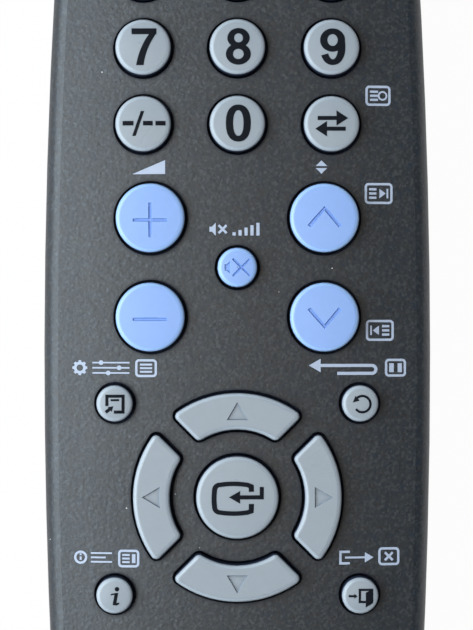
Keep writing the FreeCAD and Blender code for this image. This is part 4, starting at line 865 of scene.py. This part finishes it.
# %% Digits
HEAVY = 0.205
LEVEL = 0.76
DIGIT_WIDTH = 0.705
MIDDLE = (0.355, 0.5)
CAP = 4.6
NARROWED = 0.96
PRINT_SHIFT = 0.15


def swept(start, pull, end, steps=12):
    """Points along a gentle curve that leaves for one corner and ends at another."""
    points = []
    for step in range(steps + 1):
        t = step / steps
        weights = ((1 - t) ** 2, 2 * t * (1 - t), t * t)
        points.append(
            tuple(
                sum(weight * spot[axis] for weight, spot in zip(weights, (start, pull, end)))
                for axis in (0, 1)
            )
        )
    return points


def digit_shapes(number):
    """The strokes of a digit, one unit high and about 0.7 wide."""
    if number == 0:
        return ribbon(ring(0.35, 0.5, 0.25, 0.425, 2.35), HEAVY, True, LEVEL)
    if number == 1:
        return ribbon([(0.42, 0), (0.42, 1)], HEAVY) + ribbon(
            [(0.5, 0.88), (0.30, 0.80), (0.12, 0.74)], 0.15
        )
    if number == 2:
        top = curve(0.35, 0.69, 0.25, 0.232, 172, -38)
        return ribbon(top + [(0.14, 0.13)], HEAVY, False, LEVEL) + [box(0.03, 0, 0.68, 0.16)]
    if number == 3:
        upper = curve(0.34, 0.72, 0.235, 0.2, 165, -90)
        lower = curve(0.34, 0.295, 0.255, 0.215, 90, -165)
        return ribbon(upper, HEAVY, False, LEVEL) + ribbon(lower, HEAVY, False, LEVEL)
    if number == 4:
        slope = ribbon([(0.46, 0.93), (0.09, 0.31), (0.70, 0.31)], 0.16)
        return slope + [box(0.40, 0, 0.595, 1)]
    if number == 5:
        bowl = ribbon(curve(0.34, 0.32, 0.262, 0.24, 128, -162), HEAVY, False, LEVEL)
        return bowl + [box(0.13, 0.84, 0.63, 1)] + ribbon([(0.20, 0.92), (0.145, 0.48)], 0.17)
    if number == 6:
        bowl = ribbon(ring(0.36, 0.32, 0.25, 0.24), HEAVY, True, LEVEL)
        return bowl + ribbon(curve(0.355, 0.5, 0.255, 0.42, 28, 200, 24, 2.2), HEAVY, False, LEVEL)
    if number == 7:
        inner = swept((0.49, 0.84), (0.22, 0.48), (0.13, 0))
        outer = swept((0.34, 0), (0.40, 0.46), (DIGIT_WIDTH, 0.87))
        return [box(0.0, 0.84, DIGIT_WIDTH, 1), inner + outer]
    if number == 8:
        upper = ribbon(ring(0.355, 0.727, 0.22, 0.196), 0.19, True, LEVEL)
        return upper + ribbon(ring(0.35, 0.29, 0.252, 0.214), 0.2, True, LEVEL)
    return [[(DIGIT_WIDTH - x, 1 - y) for x, y in shape] for shape in digit_shapes(6)]


def on_key(x, y):
    """A point of a digit in millimetres about the middle of its key."""
    return (x - MIDDLE[0]) * CAP * NARROWED + PRINT_SHIFT, (y - MIDDLE[1]) * CAP


def centre_of(node):
    """The middle of a part as seen from above, in mm."""
    low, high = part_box(node)
    return (low.x + high.x) / 2 / MM, (low.y + high.y) / 2 / MM


for number in range(10):
    key = f"key_{number}"
    x, y = centre_of(key)
    shapes = [[on_key(*point) for point in shape] for shape in digit_shapes(number)]
    print_sign(f"digit_{number}", key, key, "dark_ink", shapes, x, y)
print("ten digits,", CAP, "mm high")

# %% [markdown]
# The remaining keys carry signs, drawn as plain pictograms: an arrow, a door, a
# page. Each is a short list of strokes in millimetres about the middle of its
# key.

# %% Key signs
LINE = 0.3


def arrow_head(x, y, length, half, turn):
    """A solid triangle that points along an angle, with its tip at x, y."""
    c, s = math.cos(math.radians(turn)), math.sin(math.radians(turn))
    corners = [(0, 0), (-length, half), (-length, -half)]
    return [(x + px * c - py * s, y + px * s + py * c) for px, py in corners]


def swap_shapes():
    """Two arrows that pass each other, for going back and forth."""
    upper = [box(-1.75, 0.42, 0.75, 0.92), arrow_head(2.05, 0.67, 1.45, 0.95, 0)]
    lower = [box(-0.75, -0.92, 1.75, -0.42), arrow_head(-2.05, -0.67, 1.45, 0.95, 180)]
    return upper + lower


def power_shapes():
    """An open ring with a bar in its gap."""
    return ribbon(curve(0, -0.1, 1.05, 1.05, 125, 415, 32), 0.34) + [box(-0.17, 0, 0.17, 1.35)]


def return_shapes():
    """An open ring that ends in an arrow head."""
    loop = ribbon(curve(0.25, -0.06, 1.02, 1.02, -142, 130, 32), 0.28)
    return loop + [arrow_head(-0.95, 0.14, 0.8, 0.38, 222)]


KEY_SIGNS = {
    "key_two_digit": [
        box(-2.54, -0.26, -1.18, 0.3),
        [(-1.33, -1.57), (-0.91, -1.57), (0.16, 1.54), (-0.26, 1.54)],
        box(0.02, -0.26, 1.22, 0.3),
        box(1.58, -0.26, 2.83, 0.3),
    ],
    "key_last_channel": swap_shapes(),
    "tools_key": ribbon(
        [(-0.93, -0.3), (-0.93, 0.93), (1.1, 0.93), (1.1, -1.06), (-0.05, -1.06)], 0.38
    )
    + [box(-0.45, 0.31, 0.6, 0.56), arrow_head(-0.12, -0.34, 0.6, 0.38, 40)]
    + ribbon([(-1.08, -1.1), (-0.45, -0.57)], 0.4),
    "return_key": return_shapes(),
    "info_key": [
        [(-0.20, -1.14), (0.22, -1.14), (0.49, 0.38), (0.07, 0.36)],
        ring(0.34, 0.84, 0.28, 0.28, steps=20),
        [(-0.46, 0.06), (-0.40, 0.26), (0.2, 0.36), (0.2, 0.2)],
        [(-0.20, -1.14), (0.3, -1.20), (0.60, -1.04), (0.62, -0.84), (0.1, -0.92)],
    ],
    "exit_key": ribbon([(0.75, -0.76), (-0.06, -0.76), (-0.06, 0.76), (1.5, 0.76)], 0.28)
    + [
        [(0.69, -1.45), (1.62, -0.9), (1.62, 0.9), (0.69, 0.4)],
        box(-1.45, -0.17, -0.62, 0.1),
        arrow_head(-0.36, -0.04, 0.4, 0.3, 0),
    ],
    "enter_key": ribbon(
        [
            (1.76, 0.76),
            (1.74, 1.42),
            *swept((1.3, 1.62), (-0.55, 1.90), (-2.2, 1.62), 8),
            *curve(-2.2, 0.98, 0.64, 0.64, 98, 172, 4),
            *swept((-2.86, 0.8), (-2.95, -0.1), (-2.86, -1.0), 8),
            *curve(-2.2, -1.18, 0.64, 0.64, 188, 262, 4),
            *swept((-2.2, -1.82), (-0.55, -2.10), (1.3, -1.82), 8),
            (1.74, -1.66),
            (1.76, -0.76),
        ],
        0.62,
        False,
        0.9,
    )
    + ribbon([(3.06, 1.36), (3.06, 0.07), (0.2, 0.07)], 0.5)
    + [arrow_head(-1.03, 0.07, 1.38, 0.79, 180)],
    "power_key": power_shapes(),
    "source_key": ribbon([(0.4, 1.0), (1.5, 1.0), (1.5, -1.0), (0.4, -1.0)], LINE)
    + [box(-1.6, -0.15, 0.1, 0.15), arrow_head(0.85, 0, 0.9, 0.62, 0)],
    "rewind_key": [arrow_head(-1.7, 0, 1.5, 0.9, 180), arrow_head(0.0, 0, 1.5, 0.9, 180)],
    "forward_key": [arrow_head(1.7, 0, 1.5, 0.9, 0), arrow_head(0.0, 0, 1.5, 0.9, 0)],
    "play_key": [arrow_head(1.0, 0, 1.8, 1.05, 0)],
    "record_key": [ring(0, 0, 0.85, 0.85)],
    "pause_key": [box(-0.75, -0.85, -0.25, 0.85), box(0.25, -0.85, 0.75, 0.85)],
    "stop_key": [box(-0.8, -0.8, 0.8, 0.8)],
}

for key, shapes in KEY_SIGNS.items():
    x, y = centre_of(key)
    ink = "light_ink" if key == "power_key" else "dark_ink"
    print_sign("sign_" + key, key, key, ink, shapes, x, y)
print(len(KEY_SIGNS), "signs on keys")

# %% [markdown]
# Pale signs are printed on the shell beside the keys: a wedge for volume, a
# pair of arrows for the channel, and a pictogram with a small page sign where
# two functions share a key. They ride with the case.

# %% Signs on the shell
BAR_LEVELS = (-0.2, 0.0, 0.2)
BAR_HALF = 0.055
TEETH = 8


def page(x, y, width, height, bars):
    """A page in a rounded frame, with bars on it, about its own middle."""
    w, h = width / 2, height / 2
    inset = LINE / 2
    outline = ribbon(
        rounded_box(x - w + inset, y - h + inset, x + w - inset, y + h - inset, 0.35),
        LINE,
        True,
    )
    lines = [
        box(x + x0 * width, y + y0 * height, x + x1 * width, y + y1 * height)
        for x0, y0, x1, y1 in bars
    ]
    return outline + lines


def text_bars(left, right):
    """Three level bars, as lines on a page."""
    return [(left, level - BAR_HALF, right, level + BAR_HALF) for level in BAR_LEVELS]


def speaker(x, y, size):
    """A loudspeaker seen from the side."""
    corners = [(0, -0.3), (0.3, -0.3), (0.75, -0.8), (0.75, 0.8), (0.3, 0.3), (0, 0.3)]
    return moved([corners], x, y, size)[0]


def cross(x, y, half, width):
    """Two crossing bars."""
    return ribbon([(x - half, y - half), (x + half, y + half)], width) + ribbon(
        [(x - half, y + half), (x + half, y - half)], width
    )


def gear(x, y, radius):
    """A small toothed wheel with an open middle."""
    shapes = ribbon(ring(x, y, radius * 0.62, radius * 0.62, steps=24), radius * 0.38, True)
    for tooth in range(TEETH):
        angle = math.radians(360 / TEETH * tooth)
        c, s = math.cos(angle), math.sin(angle)
        shapes += ribbon(
            [
                (x + c * radius * 0.7, y + s * radius * 0.7),
                (x + c * radius, y + s * radius),
            ],
            radius * 0.36,
        )
    return shapes


def slider(x0, x1, y, knob):
    """A level line with a knob on it."""
    return [box(x0, y - 0.1, x1, y + 0.1), ring(knob, y, 0.3, 0.3, steps=16)]


SHELL_SIGNS = {
    "volume_sign": [[(-13.26, 40.60), (-9.09, 40.62), (-9.09, 42.38)]],
    "channel_sign": [
        arrow_head(10.6, 42.35, 0.72, 0.72, 90),
        arrow_head(10.6, 40.65, 0.72, 0.72, 270),
    ],
    "mute_sign": [speaker(-3.5, 33.66, 1.05)]
    + cross(-1.85, 33.66, 0.5, 0.3)
    + [box(-0.6 + i * 0.75, 32.86, -0.2 + i * 0.75, 33.26 + i * 0.3) for i in range(5)],
    "tools_sign": gear(-19.9, 16.2, 0.95)
    + slider(-18.3, -13.6, 16.85, -17.2)
    + slider(-18.3, -13.6, 16.2, -14.9)
    + slider(-18.3, -13.6, 15.55, -16.3)
    + page(-11.5, 16.16, 2.76, 2.27, text_bars(-0.28, 0.28)),
    "return_sign": [arrow_head(9.0, 16.5, 1.5, 0.85, 180), box(10.2, 16.3, 17.0, 16.7)]
    + ribbon(
        [(16.9, 16.5), *curve(17.0, 16.0, 0.5, 0.5, 90, -90, 8), (12.6, 15.5)], 0.4
    )
    + page(20.0, 16.2, 2.7, 2.27, [(-0.3, -0.25, -0.08, 0.25), (0.1, -0.25, 0.3, 0.25)]),
    "info_sign": ribbon(ring(-19.8, -7.75, 0.7, 0.7, steps=24), LINE, True)
    + [box(-19.93, -8.1, -19.67, -7.65), box(-19.93, -7.5, -19.67, -7.27)]
    + [
        box(-18.5, -7.75 + lift - 0.11, end, -7.75 + lift + 0.11)
        for lift, end in ((0.55, -15.8), (0, -16.6), (-0.55, -15.8))
    ]
    + page(-13.7, -7.85, 2.7, 2.25, text_bars(-0.3, 0.05) + [(0.15, -0.25, 0.32, 0.25)]),
    "leave_sign": ribbon([(14.2, -7.0), (13.0, -7.0), (13.0, -8.45), (14.2, -8.45)], LINE)
    + [box(13.6, -7.85, 16.2, -7.6), arrow_head(17.2, -7.72, 1.1, 0.65, 0)]
    + page(19.15, -7.62, 2.7, 2.28, [])
    + cross(19.15, -7.62, 0.5, LINE),
    "page_zoom_sign": page(17.77, 50.54, 3.2, 2.56, text_bars(-0.32, 0.0))
    + ribbon(ring(18.35, 50.54, 0.5, 0.5, steps=20), 0.22, True),
    "page_next_sign": page(17.85, 38.2, 3.56, 2.66, text_bars(-0.34, -0.08))
    + [arrow_head(18.75, 38.2, 0.8, 0.6, 0), box(18.85, 37.6, 19.08, 38.8)],
    "page_back_sign": page(18.0, 20.92, 3.56, 2.66, text_bars(0.08, 0.34))
    + [arrow_head(17.1, 20.92, 0.8, 0.6, 180), box(16.77, 20.32, 17.0, 21.52)],
}

for name, shapes in SHELL_SIGNS.items():
    print_sign(name, "case", "upper_housing", "light_ink", shapes)
print(len(SHELL_SIGNS), "signs on the shell")

# %% [markdown]
# Inside the bay each cell shows which way it lies: a plus near the end with
# the nub and a bar near the flat one. The signs are printed from below, since
# that is the side that shows once the cover is off. Each has its place along
# the cell in millimetres from the flat end.

# %% Signs on the cells
MINUS = [box(-1.2, -0.28, 1.2, 0.28)]
PLUS = [*MINUS, box(-0.28, -1.2, 0.28, 1.2)]
POLARITY = {"_plus": (PLUS, 36.5), "_minus": (MINUS, 4.5)}

for name, foot in CELL_FOOT.items():
    x = centre_of(name)[0]
    for ending, (shapes, place) in POLARITY.items():
        y = foot + TOWARDS_TOP[name] * place
        print_sign(name + ending, "case", name, "light_ink", shapes, x, y, True)
print("polarity signs on both cells")

# %% [markdown]
# The remote lies on a white table that fills the picture. A floor in a plain
# pale colour would need a lot of light to come out white, and that light would
# wash the object out. So the floor glows by itself, but only for rays from the
# camera and for mirror-like ones, while for all other light it is ordinary
# pale board. A part of it stays ordinary for the camera too, which keeps the
# soft shadow beside the case. Far out the floor curves up into a wall, so that
# a view from near the table still ends in white.

# %% Floor
COVE = ((12.0, -0.05 * MM), (13.2, 0.16), (13.8, 0.8), (14.0, 4.0))
AROUND = 64
GLOW_SHARE = 0.97
PALE_BOARD = ((0.78, 0.78, 0.78, 1.0), (0.83, 0.83, 0.83, 1.0))
WHITE = (1.0, 1.0, 1.0, 1.0)

rounds = [
    (math.cos(turn) * reach, math.sin(turn) * reach, rise)
    for reach, rise in COVE
    for turn in (math.tau * step / AROUND for step in range(AROUND))
]
wall = []
for low in range(0, AROUND * (len(COVE) - 1), AROUND):
    for step in range(AROUND):
        here, beside = low + step, low + (step + 1) % AROUND
        wall.append((here, beside, beside + AROUND, here + AROUND))
floor_mesh = bpy.data.meshes.new("floor")
floor_mesh.from_pydata(rounds, [], [tuple(range(AROUND)), *wall])
floor = put_in_scene("floor", floor_mesh)

paper, tree, sockets = start_material("pale_floor")
fibres = put(tree, "TexNoise", {"Vector": millimetres(tree), "Scale": 0.6, "Detail": 5.0})
feed(tree, sockets["Base Color"], mixed(tree, fibres.outputs[0], *PALE_BOARD))
sockets["Roughness"].default_value = 0.9
sockets["Specular IOR Level"].default_value = 0.1
rays = put(tree, "LightPath", {}).outputs
seen = sums(tree, "MAXIMUM", rays["Is Camera Ray"], rays["Is Glossy Ray"])
seen = sums(tree, "MAXIMUM", seen, rays["Is Transmission Ray"])
glow = put(tree, "Emission", {"Color": WHITE, "Strength": 1.0})
shader = next(node for node in tree.nodes if node.type == "BSDF_PRINCIPLED")
output = next(node for node in tree.nodes if node.type == "OUTPUT_MATERIAL")
blend = put(
    tree,
    "MixShader",
    {0: sums(tree, "MULTIPLY", seen, GLOW_SHARE), 1: shader.outputs[0], 2: glow.outputs[0]},
)
feed(tree, output.inputs["Surface"], blend.outputs[0])
floor_mesh.materials.append(paper)
print("floor glows for", GLOW_SHARE, "of what the camera sees of it")

# %% [markdown]
# The picture was lit by one large soft lamp up on the left, with the faint blue
# of daylight. Its mirror image in the satin shell is what makes the left side
# silver. A weaker, warmer lamp hangs straight above, as a ceiling does, and
# takes the chill off the middle. The world adds an even, slightly blue light
# from everywhere, so that the shadows stay open and the colours come out much
# as they are written.

# %% Light
WORLD_LIGHT = 0.25
SKY = (0.85, 0.93, 1.0, 1.0)
TARGET = Vector((0, 0.02, 0.02))
LAMPS = {
    "window_lamp": (Vector((-0.21, 0.03, 0.24)), (0.34, 0.26), 1.5, (0.83, 0.935, 1.0)),
    "ceiling_lamp": (Vector((-0.03, 0.02, 0.50)), (0.24, 0.30), 0.25, (1.0, 0.74, 0.48)),
}

world = bpy.data.worlds.new("studio")
SCENE.world = world
world.use_nodes = True
world.node_tree.nodes.clear()
sky = put(world.node_tree, "Background", {"Color": SKY, "Strength": WORLD_LIGHT})
put(world.node_tree, "OutputWorld", {"Surface": sky.outputs[0]})

for name, (place, size, power, colour) in LAMPS.items():
    lamp_data = bpy.data.lights.new(name, "AREA")
    lamp_data.shape = "RECTANGLE"
    lamp_data.size, lamp_data.size_y = size
    lamp_data.energy = power
    lamp_data.color = colour
    lamp = put_in_scene(name, lamp_data)
    lamp.location = place
    lamp.rotation_euler = (TARGET - place).to_track_quat("-Z", "Y").to_euler()
    lamp.visible_camera = False
    print(name, "at", tuple(round(part, 3) for part in place), "with", power, "W")

SCENE.view_settings.view_transform = "Standard"
print("world at", WORLD_LIGHT)
